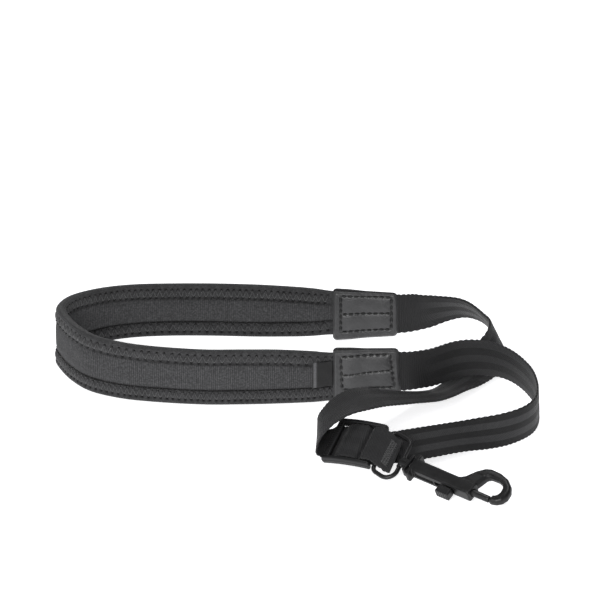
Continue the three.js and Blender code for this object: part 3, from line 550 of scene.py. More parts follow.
def holes(edge, side):
    """Needle holes of one zigzag: distance along and depth from the pad's edge, alternating between the two lines."""
    p = PITCH[(edge, side)] / 2
    reach, r1, r2 = EDGE[edge]
    n = int((S_BACK - S_FRONT - 1.2) / p)
    s = S_FRONT + 0.6 + p * np.arange(n)
    r = np.random.default_rng(hash_of(edge + side))
    s = s + r.normal(0, 0.09, n)
    d = np.where(np.arange(n) % 2 == 0, r1, r2) + r.normal(0, 0.08, n)
    return s, d


def hash_of(text):
    return sum(ord(c) * (i + 3) for i, c in enumerate(text)) % 9973


HOLES = {k: holes(*k) for k in PITCH}


def relief(S, D, key):
    """How far the face of a binding stands proud at (along, depth), and a mask of the dimples at its needle holes,
    which also dents the face, and of the groove at its raw edge; the mask is painted as shade.
    """
    hs, hd = HOLES[key]
    reach, r1, r2 = EDGE[key[0]]
    p = PITCH[key] / 2
    i0 = np.clip(np.round((S - hs[0]) / p).astype(int), 0, len(hs) - 1)
    recess_shade = np.zeros(S.shape)
    for k in (-2, -1, 0, 1, 2):
        i = np.clip(i0 + k, 0, len(hs) - 1)
        out_ = 0.45 * np.sign(hd[i] - (r1 + r2) / 2)
        r2_ = (((S - hs[i]) / 0.80) ** 2 + ((D - hd[i] - out_) / 0.80) ** 2) ** 1.4
        recess_shade = np.maximum(recess_shade, np.exp(-r2_))
    # the band between the two lines of holes is drawn in, and puffs between the stitches
    mid = (r1 + r2) / 2
    puff = 0.30 * np.exp(-((D - mid) / 1.5) ** 2) * (0.5 + 0.5 * np.cos(2 * math.pi * (S - hs[0]) / p))
    line = -0.30 * np.exp(-((D - r1) / 0.85) ** 2) - 0.34 * np.exp(-((D - r2) / 0.85) ** 2)
    lip = 0.22 * np.exp(-((D - reach) / 0.7) ** 2) * (0.6 + 0.4 * np.cos(2 * math.pi * (S - hs[0]) / (2 * p)))
    out = line + puff + lip - 0.9 * recess_shade + 0.10 * ripple(S, D * 3, 14, hash_of(key[0] + key[1]))
    # Painted shade: the groove along the binding's raw edge joins the mask that darkens the colour.
    recess_shade = np.maximum(recess_shade, 0.55 * np.exp(-((D - reach) / 0.55) ** 2))
    return out, recess_shade


def binding(edge):
    sgn = 1 if edge == "top" else -1
    reach, r1, r2 = EDGE[edge]
    m = len(pad.s)
    flat = 2.0
    dd = np.linspace(reach, flat, 17)
    cap = np.linspace(-90, 90, 15)[1:-1]
    rows, recess_shade, depth = [], [], []
    H, TH, Sx = pad.h / 2, pad.th, pad.s
    for q in (-1, 1):
        side = "outer" if q > 0 else "inner"
        block, hb = [], []
        for d in dd:
            wave = 0.22 * np.sin(2 * math.pi * (Sx - HOLES[(edge, side)][0][0]) / PITCH[(edge, side)]) * (d > reach - 0.7)
            r, h = relief(Sx, np.full(m, d), (edge, side))
            r = r * (TH / 3.0)
            block.append((q * (TH + r), H - d + wave * (d == reach)))
            hb.append(h)
        if q > 0:
            block, hb = block[::-1], hb[::-1]
        if q < 0:
            rows += block
            recess_shade += hb
            for a in cap:
                a = math.radians(a)
                rows.append((TH * np.sign(a) * abs(math.sin(a)) ** 0.86, H - flat * (1 - abs(math.cos(a)) ** 0.9)))
                recess_shade.append(np.zeros(m))
        else:
            rows += block
            recess_shade += hb
    inner = TH - 1.05
    for o, z in ((inner + 0.15, H - reach + 0.05), (inner, H - reach * 0.6), (inner * 0.9, H - 1.7), (-inner * 0.9, H - 1.7), (-inner, H - reach * 0.6), (-inner - 0.15, H - reach + 0.05)):
        rows.append((o, z))
        recess_shade.append(np.zeros(m))
    O = np.stack([r[0] * np.ones(m) for r in rows], 1)
    Z = np.stack([r[1] * np.ones(m) for r in rows], 1) * sgn
    S = np.repeat(Sx[:, None], O.shape[1], 1)
    P = pad.at(S, O, Z)
    P[..., 2] = np.maximum(P[..., 2], 0.0)
    flat2 = list(zip(O[m // 2], Z[m // 2]))
    uvw = np.stack([S, Z, O * 1.0], -1)
    return add("pad_binding_" + edge + "_fabric", P.reshape(-1, 3), ring_faces(m, O.shape[1], flat=flat2), mat_bind,
        {"uvw": uvw.reshape(-1, 3), "recess_shade": np.stack(recess_shade, 1).reshape(-1)})


def strip(side):
    q = 1 if side == "outer" else -1
    P_ = Path(0.32)
    m = len(P_.s)
    n = 26
    t = np.linspace(-1, 1, n)
    lo, hi = -(P_.h / 2 - EDGE["bottom"][0] + 1.4), P_.h / 2 - EDGE["top"][0] + 1.4
    mid, half = (lo + hi) / 2, (hi - lo) / 2
    Z = mid[:, None] + half[:, None] * t[None]
    edge_d = half[:, None] * (1 - np.abs(t[None])) - 1.0
    S = np.repeat(P_.s[:, None], n, 1)
    k = P_.th[:, None] / 3.0
    rib = 0.11 * np.cos(2 * math.pi * S / 1.25)
    o = P_.th[:, None] - 0.95 * k + k * (0.85 * sstep(-0.3, 5.5, edge_d) - 0.55 * np.exp(-(np.maximum(edge_d, 0) / 0.7) ** 2)) + rib * sstep(0.2, 1.5, edge_d)
    o = o + k * 0.13 * ripple(S, Z * 1.6, 22, 5 + q)
    back = P_.th[:, None] - 2.3 * k + 0 * t[None, [0, -1]]
    O = np.concatenate([o, back[:, ::-1]], 1) * q
    Z = np.concatenate([Z, Z[:, [-1, 0]]], 1)
    S = np.repeat(P_.s[:, None], O.shape[1], 1)
    P = P_.at(S, O, Z)
    # Painted shade: a band along both long edges of the knit strip, where it meets the bindings, is marked for
    # darkening the colour.
    recess_shade = np.concatenate([np.exp(-(np.maximum(edge_d - 0.3, 0) / 0.8) ** 2), np.zeros((m, 2))], 1)
    flat2 = list(zip(O[m // 2], Z[m // 2]))
    uvw = np.stack([S, Z, O], -1)
    return add("pad_strip_" + side + "_knit", P.reshape(-1, 3), ring_faces(m, O.shape[1], flat=flat2), mat_knit,
        {"uvw": uvw.reshape(-1, 3), "recess_shade": recess_shade.reshape(-1)})


def foam():
    P_ = Path(3.0)
    m = len(P_.s)
    a = np.linspace(0, 2 * math.pi, 24, endpoint=False)
    w = np.maximum(0.25, P_.th - 2.4)[:, None]
    O = w * np.sign(np.cos(a)) * np.abs(np.cos(a)) ** 0.4
    Z = (P_.h / 2 - 2.2)[:, None] * np.sign(np.sin(a)) * np.abs(np.sin(a)) ** 0.4
    S = np.repeat(P_.s[:, None], 24, 1)
    return add("pad_foam", P_.at(S, O, Z).reshape(-1, 3), ring_faces(m, 24), mat_foam)


def zigzag(edge, side):
    q, sgn = (1 if side == "outer" else -1), (1 if edge == "top" else -1)
    s, d = HOLES[(edge, side)]
    h, th = np.interp(s, pad.s, pad.h), np.interp(s, pad.s, pad.th)
    P = pad.at(s, q * (th - 0.08), sgn * (h / 2 - d))
    N = pad.out(s, q)
    return threads("zigzag_" + edge + "_" + side, P[:-1], P[1:], N[:-1], 0.30, 0.30, 0.55, mat_zig)


for e in ("top", "bottom"):
    give(binding(e), "pad_binding_" + e, "root")
    for sd in ("outer", "inner"):
        give(zigzag(e, sd), f"seam_thread_{e}_{sd}", "root")
for sd in ("outer", "inner"):
    give(strip(sd), "pad_strip_" + sd, "root")
give(foam(), "pad_core", "root")

# ------------------------------------------------------------------ end tabs
TL, TR = 19.6, 58.0
TAB = {"front": dict(left=33.6, right=32.0, z=17.2, reach=1.5, lean=0.8), "back": dict(left=32.4, right=27.4, z=17.6, reach=0, lean=0)}
SEW_X, SEW_Z = (24.6, 54.5), (9.0, 18.9, 30.0)


def mid_of(tab, x):
    return lerp(7.6, 9.5, (x - 22) / 36) if tab == "front" else lerp(91.6, 91.35, (x - 22) / 36)


def lean(tab, x, z):
    """The far end of a tab leans: x of a place in the tab after that."""
    f = TAB[tab]
    k = (x - TL) / (TR - TL)
    return x + k * (f["reach"] - f["lean"] * (z - f["z"]) / (lerp(f["left"], f["right"], k) / 2))


def tab_inner(x):
    return lerp(2.0, 1.0, sstep(28.4, 40, x))


SEWN = {"front": [((24.4, 29.6), (52.0, 30.4)), ((53.2, 30.2), (54.8, 9.4)), ((54.8, 8.9), (25.6, 8.4)), ((25.0, 8.9), (24.2, 29.0)), ((25.2, 17.4), (53.4, 19.9))],
        "back": [((24.2, 30.6), (54.2, 29.4)), ((54.4, 29.0), (54.4, 8.9)), ((54.0, 8.6), (24.8, 7.2)), ((24.2, 7.8), (24.2, 30.0)), ((24.8, 18.7), (54.0, 18.9))]}


def tab_face(tab, side):
    """One leather layer: turned edges, sewn lines drawn in, soft pillows between them."""
    q = -1 if (tab == "front") == (side == "outer") else 1
    f = TAB[tab]
    nx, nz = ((150, 120))
    tx = np.linspace(0, 1, nx)
    tx = 0.5 - 0.5 * np.sign(0.5 - tx) * (1 - (1 - np.abs(1 - 2 * tx)) ** 1.0)
    ux = np.linspace(-1, 1, nx)
    ux = np.sign(ux) * (1 - (1 - np.abs(ux)) ** 1.25)
    x = (TL + TR) / 2 + (TR - TL) / 2 * ux
    uz = np.linspace(-1, 1, nz)
    uz = np.sign(uz) * (1 - (1 - np.abs(uz)) ** 1.25)
    d = np.minimum(x - TL, TR - x)
    R = 2.6
    half = lerp(f["left"], f["right"], (x - TL) / (TR - TL)) / 2
    half = half - np.where(d < R, R - np.sqrt(np.maximum(0, R * R - (R - d) ** 2)), 0)
    X = np.repeat(x[:, None], nz, 1)
    Z = f["z"] + half[:, None] * uz[None]
    full = (lerp(f["left"], f["right"], (X - TL) / (TR - TL)) / 2)
    e = np.minimum(np.minimum(X - TL, TR - X), full - np.abs(Z - f["z"]))
    dz = np.minimum(X - TL, TR - X)
    cx, cz = np.maximum(R - dz, 0), np.maximum(R - (full - np.abs(Z - f["z"])), 0)
    e = np.where((cx > 0) & (cz > 0), R - np.hypot(cx, cz), e)
    e = np.maximum(e, 0)
    # distance to the sewn lines, and a mask of the stitch ends and of the dimple along each stitch, which dents the
    # leather and is painted as shade
    dist, recess_shade = np.full(X.shape, 99.0), np.zeros(X.shape)
    for (x0, z0), (x1, z1) in SEWN[tab]:
        v = np.array([x1 - x0, z1 - z0])
        L = np.hypot(*v)
        t = np.clip(((X - x0) * v[0] + (Z - z0) * v[1]) / L**2, 0, 1)
        dist = np.minimum(dist, np.hypot(X - x0 - t * v[0], Z - z0 - t * v[1]))
        n = max(2, round(L / 3.7))
        for i in range(n + 1):
            hx, hz = x0 + v[0] * i / n, z0 + v[1] * i / n
            recess_shade = np.maximum(recess_shade, 0.5 * np.exp(-(((X - hx) ** 2 + (Z - hz) ** 2) / 0.45**2)))
            if i < n:
                mx, mz = x0 + v[0] * (i + 0.5) / n - X, z0 + v[1] * (i + 0.5) / n - Z
                al, ac = (mx * v[0] + mz * v[1]) / L, (mx * v[1] - mz * v[0]) / L
                recess_shade = np.maximum(recess_shade, np.exp(-(np.maximum(np.abs(al) - 0.8, 0) / 0.45) ** 2 - (ac / 0.72) ** 2))
    inside = (X > SEW_X[0] - 0.5) & (X < SEW_X[1] + 0.5) & (Z > 8.2) & (Z < 30.6)
    rise = 1.12 * (1 - np.exp(-(e / 0.75) ** 1.5))
    pillow = np.where(inside, 0.70, 0.42) * (1 - np.exp(-(dist / 3.2) ** 1.5))
    roll = 0.30 * np.exp(-((e - 1.35) / 0.95) ** 2) * np.where(inside, 0, 1)
    pucker = 0.09 * np.exp(-dist / 2.0) * np.cos(2 * math.pi * (X + Z) / 3.7)
    soft = 0.16 * ripple(X, Z * 1.3, 17, hash_of(tab + side)) * sstep(0.5, 3, e)
    o = rise + (pillow + roll + pucker + soft) * sstep(0, 2.2, e) - 0.40 * recess_shade - 0.2 * np.exp(-(dist / 0.75) ** 2)
    base = tab_inner(X)
    XL = lean(tab, X, Z)
    Y = mid_of(tab, XL) + q * (base + np.clip(o, 0.02, 2.1))
    Yb = mid_of(tab, XL) + q * base
    top = np.stack([XL, Y, Z], -1).reshape(-1, 3)
    bot = np.stack([XL, Yb, Z], -1).reshape(-1, 3)
    i, j = np.meshgrid(np.arange(nx - 1), np.arange(nz - 1), indexing="ij")
    a = (i * nz + j).ravel()
    g = np.stack([a, a + nz, a + nz + 1, a + 1], 1)
    N = nx * nz
    rim = list(range(0, nz)) + [i * nz + nz - 1 for i in range(1, nx)] + [(nx - 1) * nz + j for j in range(nz - 2, -1, -1)] + [i * nz for i in range(nx - 2, 0, -1)]
    sides = [[rim[k], rim[(k + 1) % len(rim)], rim[(k + 1) % len(rim)] + N, rim[k] + N] for k in range(len(rim))]
    faces = g.tolist() + (g[:, ::-1] + N).tolist() + sides
    uvw = np.stack([X, Z, 0 * X + q], -1).reshape(-1, 3)
    # Painted shade: the stitch dimples and a thin band along each sewn line are kept for darkening the leather's
    # colour.
    hv = np.maximum(recess_shade * 0.95, 0.3 * np.exp(-(dist / 0.5) ** 2)).reshape(-1)
    return add(f"tab_{tab}_{side}_leather", np.vstack([top, bot]), faces, mat_leather,
        {"uvw": np.vstack([uvw, uvw]), "recess_shade": np.concatenate([hv, hv])}), q


def tab_stitches(tab, side, q):
    A, B = [], []
    for (x0, z0), (x1, z1) in SEWN[tab]:
        v = np.array([x1 - x0, z1 - z0])
        L = np.hypot(*v)
        n = max(2, round(L / 3.7))
        for i in range(n):
            a, b = (i + 0.06) / n, (i + 0.94) / n
            A.append((x0 + v[0] * a, z0 + v[1] * a))
            B.append((x0 + v[0] * b, z0 + v[1] * b))
    A, B = np.array(A), np.array(B)
    lift = lambda p: np.stack([p[:, 0], mid_of(tab, p[:, 0]) + q * (tab_inner(p[:, 0]) + 1.08), p[:, 1]], 1)
    N = np.repeat([[0, q, 0]], len(A), 0)
    return threads(f"tab_{tab}_stitches_{side}", lift(A), lift(B), N, 0.36, 0.08, 0.45, mat_sew)


for tb in ("front", "back"):
    for sd in ("outer", "inner"):
        ob, q = tab_face(tb, sd)
        give(ob, f"tab_{tb}_{sd}", "root")
        give(tab_stitches(tb, sd, q), f"tab_{tb}_thread_{sd}", "root")


def label():
    """Small woven label: one folded satin tape, its fold on the left, its ends under the tab."""
    nz = 60
    lo, hi = 10.9, 27.3
    mid = [(19.3 - t * 11.5, 0.74) for t in np.linspace(0, 1, 34)]                 # outer run, from the tab to the fold
    mid += [(7.8 + 0.27 * math.cos(x), 0.47 + 0.27 * math.sin(x)) for x in np.linspace(math.pi / 2, 1.5 * math.pi, 9)[1:-1]]
    mid += [(7.8 + t * 11.5, 0.20) for t in np.linspace(0, 1, 16)]                 # inner run
    mid = np.array(mid)
    tg = unit(np.gradient(mid, axis=0))
    nn = np.stack([-tg[:, 1], tg[:, 0]], 1) * 0.12
    sec = np.vstack([mid - nn, (mid + nn)[::-1]])
    fx = np.interp(sec[:, 0], pad.x[pad.front][::-1], pad.y[pad.front][::-1])
    th = np.interp(sec[:, 0], pad.x[pad.front][::-1], pad.th[pad.front][::-1])
    z = np.linspace(lo, hi, nz)
    rings = []
    for k, zz in enumerate(z):
        e = min(zz - lo, hi - zz)
        bow = 0.10 * ripple(sec[:, 0], np.full(len(sec), zz), 9, 31) + 0.25 * np.exp(-((sec[:, 0] - 7.9) / 1.4) ** 2)
        o = th + 0.35 + sec[:, 1] + np.where(sec[:, 1] > 0.5, bow, 0) - 0.12 * math.exp(-e / 0.5)
        rings.append(np.stack([sec[:, 0], fx - o, np.full(len(sec), zz)], 1))
    rings = np.array(rings)
    uvw = np.stack([rings[..., 0], rings[..., 2], rings[..., 1]], -1).reshape(-1, 3)
    return add("label_folded", rings.reshape(-1, 3), ring_faces(nz, len(sec), flat=sec.tolist()), mat_label, {"uvw": uvw})


lab = give(label(), "pad_label", "root")

# ------------------------------------------------------------------ adjuster and hook axes
AC, aU, aV, aN = V3(32.738, -78.919, 12.5), V3(0.87711, -0.47392, 0.07796), V3(0.38396, 0.78942, 0.47895), V3(-0.28853, -0.39016, 0.87437)
RC, hH, hP, hQ = V3(54.023, -97.099, 11.412), V3(0.78406, -0.61529, -0.08164), V3(0.57397, 0.66869, 0.47267), V3(-0.23624, -0.41746, 0.87745)


def adj(u, v, n):
    u, v, n = (np.asarray(a, float)[..., None] for a in np.broadcast_arrays(u, v, n))
    return AC + u * aU + v * aV + n * aN


def hook_at(h, p, q):
    h, p, q = (np.asarray(a, float)[..., None] for a in np.broadcast_arrays(h, p, q))
    return RC + h * hH + p * hP + q * hQ


def adj_row(u, v, n, deg=0.0, wn=0.0):
    a = math.radians(deg)
    w = unit(aV * math.cos(a) - aU * math.sin(a) + aN * wn) * 25.0
    return [*adj(u, v, n), *w]


# ------------------------------------------------------------------ webbing
BACK = [
  [29.8, 91.5, 18.1, 0, 0, 25], [44, 91.5, 18.1, 0, 0, 25], [58.3, 91.3, 18, 0, 0.1, 25.2], [65, 91.5, 18.4, -1.6, 0.4, 24.5],
  [70.3, 89.7, 20.1, -4.3, -1.6, 24.1], [75.8, 88, 21.4, -6.2, -5.6, 23.4], [81.3, 87, 23.1, -7.2, -8.9, 22],
  [87.3, 85.8, 24.5, -8, -11.5, 20.3], [93.3, 83.7, 25.9, -9, -12.8, 19.1], [99.3, 80.3, 26.5, -9.7, -12.5, 19.1],
  [104.9, 75.5, 26.1, -10.1, -11.7, 19.5], [109.4, 69.3, 24.9, -9.8, -10.7, 20.3], [113.4, 62.3, 23.1, -8.8, -9.2, 21.4],
  [117, 54.4, 21.9, -8.2, -8.4, 22], [116.8, 45.9, 17.6, -12.5, -5.4, 20.2], [108.4, 37.2, 10.7, -17.8, 4.6, 13.3],
  [98.5, 26.2, 4.5, -19.2, 11.7, 0.1], [89.6, 14, 4.3, -19.6, 13, -5.2], [81.6, 2.1, 6.9, -20.2, 14.1, -3.7],
  [74, -8.5, 10.4, -19.9, 15.1, -1.4], [67, -17.2, 14.1, -19.4, 15.7, -0.4], [60.5, -24.9, 17.6, -19, 16.3, 0.3],
  [54.5, -31.9, 20.9, -18.2, 17, 1.7], [48.5, -38.6, 24.2, -17.4, 17.6, 3], [43.7, -44.4, 26.8, -17.5, 17.2, 4],
  [37.7, -50.6, 28.5, -17.4, 17.4, 3.9], [30.8, -57.4, 29, -17.2, 17.9, 1.9], [24.8, -62.8, 28.3, -15.8, 18.7, -1.5],
  [19.5, -66.7, 26.2, -11.9, 20.1, -3.2], [14.9, -69.3, 23.1, -6.3, 22.4, -1.2], [11.5, -70.7, 18.8, -1.1, 24.2, 2.7],
  [10.5, -71, 14.5, 1.2, 23.7, 8.1],
  [13.4, -71.2, 9.7, 7, 20, 7.3],
  adj_row(-17.2, 0, -2.35), adj_row(-14.3, 0, -2.35), adj_row(-12.2, 0, -2.3), adj_row(-10.2, 0, -1.75), adj_row(-8.1, 0, -0.2), adj_row(-6.1, 0, 1.4),
  adj_row(-4.1, 0, 2.2), adj_row(-1.5, 0, 2.3), adj_row(1.5, 0, 2.3), adj_row(3.6, 0, 2.25), adj_row(5.1, 0, 1.7), adj_row(6.0, 0, 0.7), adj_row(6.35, 0, -0.5),
  adj_row(6.2, 0, -1.7), adj_row(5.5, 0, -2.8), adj_row(4.2, 0, -3.55), adj_row(2.4, 0, -3.8), adj_row(-1, 0, -4.0), adj_row(-4.5, 0, -4.4), adj_row(-8, 0, -4.8), adj_row(-11.8, 0, -5.0), adj_row(-15.6, 0, -5.1)]
FRONT = [
  [29.8, 8, 18.1, 0, 0, 25], [44, 8.8, 18.1, 0, 0, 25], [58.3, 9.5, 18.4, 0, 0.2, 25.5], [65.1, 9.6, 18.6, -0.3, -0.2, 25.2],
  [71.7, 11.2, 18.9, -0.6, -0.7, 25.1], [78.2, 13.8, 18.9, -0.8, -0.8, 25.1], [84.2, 17.4, 19.3, -1.1, -0.7, 25],
  [90.1, 21, 19.9, -1.4, -0.5, 24.7], [96.8, 23.3, 20.4, -1.5, -0.8, 24.5], [104.1, 23.7, 20.8, -1.6, -1.9, 24.6],
  [111.6, 21.9, 21.2, -2.1, -3.2, 24.5], [118.7, 18.1, 21.4, -2.6, -4, 24.4], [125, 12.4, 21.2, -2.8, -4, 24.4],
  [130.5, 5.2, 20.6, -2.7, -3.9, 24.6], [135.2, -3.2, 19.8, -2.3, -3.6, 24.6], [139, -12.6, 18.8, -1.7, -3.3, 24.7],
  [141.2, -23, 17.5, -1.2, -3, 24.8], [141.6, -34, 16.1, -0.1, -2.7, 25], [139.3, -45.2, 15.1, 1.5, -3, 24.7],
  [132.6, -54.8, 14.3, 1, -2.6, 23], [121.7, -61.4, 13.2, -2.3, 3.2, 19.8], [109, -65.2, 12.4, -5.1, 13, 14.8],
  [97.6, -68.5, 12.2, -6.8, 19.2, 10.6], [87.7, -72.1, 12.2, -7.6, 21.5, 9.3], [78.9, -75.6, 12.1, -7.8, 21.8, 9.5],
  [70.6, -78.8, 12, -7.6, 21.4, 10], [63.3, -81.9, 11.9, -6.6, 21, 11],
  adj_row(24.2, 4.6, -4.9, 26), adj_row(20.6, 1.5, -2.9, 12), adj_row(17.4, 0.2, -2.4, 3), adj_row(14.5, 0, -2.35),
  *[adj_row(11.5 - 2.75 * math.sin(math.radians(d)), 0, -2.4 * math.cos(math.radians(d))) for d in np.arange(9) * 22.5],
  adj_row(14.2, 0, 2.45), adj_row(17, -0.7, 2.95), adj_row(19.8, -2.2, 3.1), adj_row(22.3, -3.6, 2.95), adj_row(24.8, -4.6, 2.5, 1), adj_row(27.2, -5.8, 1.5, 3),
  adj_row(29.2, -6.3, 1.3, 3), adj_row(31.2, -6.4, 1.4, 3)]
FREE = {"back": 33, "front": 27}          # rows before the adjuster
FACE_A = {"back": (60.5, -24.9, 17.6), "front": (104.1, 23.7, 20.8)}   # where the two-light-edge face is up


def webbing(which, rows):
    step = 0.5
    R, s = curve(rows, step)
    free = np.array(rows[FREE[which] - 1][:3])
    i_end = int(np.argmin(np.linalg.norm(R[:, :3] - free, axis=1)))
    k = np.arange(-12, 13)
    g = np.exp(-((k * step / 2.6) ** 2))
    g /= g.sum()
    Rp = np.vstack([np.repeat(R[:1], 12, 0), R, np.repeat(R[-1:], 12, 0)])
    sm = np.stack([np.convolve(Rp[:, c], g, "valid") for c in range(6)], 1)
    w = (1 - sstep(i_end - 10 / step, i_end - 2 / step, np.arange(len(R))))[:, None] * sstep(56, 66, np.where(s < 120, R[:, 0], 99))[:, None]
    R = R * (1 - w) + sm * w
    C, W = R[:, :3], R[:, 3:6] / 2
    T = unit(np.gradient(C, axis=0))
    N = unit(np.cross(T, W))
    view = V3(0, -0.906, 0.423)
    i_a = int(np.argmin(np.linalg.norm(C - np.array(FACE_A[which]), axis=1)))
    sign_a = 1.0 if N[i_a] @ view > 0 else -1.0
    m = len(C)
    v = np.linspace(-1, 1, 51)
    v = np.sign(v) * (1 - (1 - np.abs(v)) ** 1.15)
    S = np.repeat(s[:, None], len(v), 1)
    Vm = np.repeat(12.5 * v[None], m, 0)
    edge = np.clip((1 - np.abs(v)) * 12.5 / 0.9, 0, 1)
    half = 0.64 * np.sqrt(np.clip(1 - (1 - edge) ** 2, 0.02, 1))[None]
    scallop = 1 + (0.044 * np.abs(np.sin(math.pi * s / 3.4))[:, None] - 0.030) * (np.abs(v)[None] > 0.90)
    aw = np.abs(Vm)
    bump_a = lambda x: 0.5 + 0.5 * np.tanh(x * 3)
    lightA = np.clip(bump_a(2.45 - aw) + bump_a(aw - 7.4), 0, 1)
    plain = np.maximum(sstep(36, 10, np.minimum(S - 28.0, 99)), 0.8 * sstep(40, 30, np.linalg.norm(C - AC, axis=1))[:, None])
    ridge = 0.055 * np.cos(2 * math.pi * S / 1.15)
    rings, uv, pl = [], [], []
    for sgn in (1, -1):
        light = lightA if sgn * sign_a > 0 else 1 - lightA
        hgt = half * (1 + 0.13 * light * (1 - plain)) + ridge * (edge[None] > 0.9) * 0.6
        base = C[:, None] + W[:, None] * (v[None, :, None] * scallop[..., None])
        P = base + sgn * N[:, None] * hgt[..., None]
        u_ = np.stack([S, Vm, np.full(S.shape, sgn * sign_a)], -1)
        if sgn < 0:
            P, u_, pn = P[:, ::-1], u_[:, ::-1], plain[:, ::-1]
        else:
            pn = plain
        rings.append(P)
        uv.append(u_)
        pl.append(pn)
    P, U, PL = np.concatenate(rings, 1), np.concatenate(uv, 1), np.concatenate(pl, 1)
    n = P.shape[1]
    fl = [(a, 1.0) for a in v] + [(a, -1.0) for a in v[::-1]]
    ob = add(f"webbing_{which}_woven", P.reshape(-1, 3), ring_faces(m, n, flat=fl), mat_web, {"uvw": U.reshape(-1, 3), "plain": PL.reshape(-1)})
    return ob, s[-1]


for which, rows_, start, end in (
    ("back", BACK, AC + 42 * aV, AC + 13.5 * aV),
    ("front", FRONT, V3(132, -55, 14), V3(104.5, -105, 14))):
    ob, long = webbing(which, rows_)
    print("webbing", which, "length mm", round(float(long), 1))
    give(ob, "webbing_" + which, None)
    tuple(row(start))
    tuple(row(end))
    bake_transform(ob)


def bartack():
    """Zigzag of heavy thread over the end of the loop: three columns of short slanting stitches across the webbing."""
    st = np.array([[24.2, -4.5, 2.7], [25.8, -5.2, 2.15], [27.4, -6.0, 1.5], [28.8, -6.4, 1.15]])
    at = lambda u, v: adj(u, v + np.interp(u, st[:, 0], st[:, 1]), np.interp(u, st[:, 0], st[:, 2]) + 0.95)
    A, B = [], []
    r = np.random.default_rng(11)
    n = 25
    for i in range(n):
        v = -8.3 + 16.6 * i / (n - 1)
        for u0, u1 in ((24.3, 25.9), (25.7, 27.3), (27.1, 28.7)):
            k = 0.35 if i % 2 else -0.35
            A.append(at(np.array(u0), np.array(v - k + r.normal(0, 0.06)))), B.append(at(np.array(u1), np.array(v + k + r.normal(0, 0.06))))
    A, B = np.array(A), np.array(B)
    return threads("bartack_zigzag", A, B, np.repeat(aN[None], len(A), 0), 0.24, 0.12, 0.25, mat_tack)


give(bartack(), "bartack_thread", "adjuster")


# ------------------------------------------------------------------ moulded adjuster
def rounded(points, r, k=5):
    """A closed polygon with its corners rounded."""
    out, P = [], np.array(points, float)
    n = len(P)
    for i in range(n):
        a, b, c = P[i - 1], P[i], P[(i + 1) % n]
        d1, d2 = unit(a - b), unit(c - b)
        half = math.acos(np.clip(d1 @ d2, -1, 1)) / 2
        if abs(half - math.pi / 2) < 0.02:
            out.append(b)
            continue
        t = min(r / math.tan(half), 0.45 * np.linalg.norm(a - b), 0.45 * np.linalg.norm(c - b))
        for j in range(k + 1):
            u = j / k
            out.append((1 - u) ** 2 * (b + d1 * t) + 2 * u * (1 - u) * b + u**2 * (b + d2 * t))
    return np.array(out)


def prism(outline, layers, to):
    """A plate: the outline pulled in by each layer's inset, at each layer's height; to() turns (x, y, height) into a place."""
    P = np.array(outline, float)
    a, b = unit(P - np.roll(P, 1, 0)), unit(np.roll(P, -1, 0) - P)
    area = 0.5 * np.sum(P[:, 0] * np.roll(P[:, 1], -1) - P[:, 1] * np.roll(P[:, 0], -1))
    k = 1 if area > 0 else -1
    n1, n2 = np.stack([-a[:, 1], a[:, 0]], 1) * k, np.stack([-b[:, 1], b[:, 0]], 1) * k
    m = (n1 + n2) / 2
    m = m / np.maximum((m**2).sum(1, keepdims=True), 0.35)
    rings = [to(*(P + m * ins).T, np.full(len(P), z)) for ins, z in layers]
    return np.vstack(rings), ring_faces(len(rings), len(P), flat=P.tolist())


def soft_layers(t, r, k=4):
    """Layers of a plate of half thickness t with edges rounded by r."""
    a = np.linspace(0, math.pi / 2, k + 1)
    lo = [(r * (1 - math.sin(x)), -t + r * (1 - math.cos(x))) for x in a]
    return lo + [(i, -z) for i, z in lo[::-1]]


def lathe(profile, seg=48, p0=0.0, q0=0.0, to=hook_at):
    a = np.arange(seg) * 2 * math.pi / seg
    rings = [to(np.full(seg, h), p0 + r * np.cos(a), q0 + r * np.sin(a)) for h, r in profile]
    return np.vstack(rings), ring_faces(len(rings), seg)


def block(lo, hi, to):
    (a, b, c), (d, e, f) = lo, hi
    x = np.array([a, d, d, a, a, d, d, a]); y = np.array([b, b, e, e, b, b, e, e]); z = np.array([c, c, c, c, f, f, f, f])
    return to(x, y, z), [[0, 3, 2, 1], [4, 5, 6, 7], [0, 1, 5, 4], [1, 2, 6, 5], [2, 3, 7, 6], [3, 0, 4, 7]]


def plate(h0, h1, p, q, r):
    """A flat plate across the hook's axis, with rounded corners and eased edges."""
    return prism(rounded([(-p, -q), (p, -q), (p, q), (-p, q)], r), [(0.35, h0), (0, h0 + 0.35), (0, h1 - 0.35), (0.35, h1)], lambda x, y, z: hook_at(z, x, y))


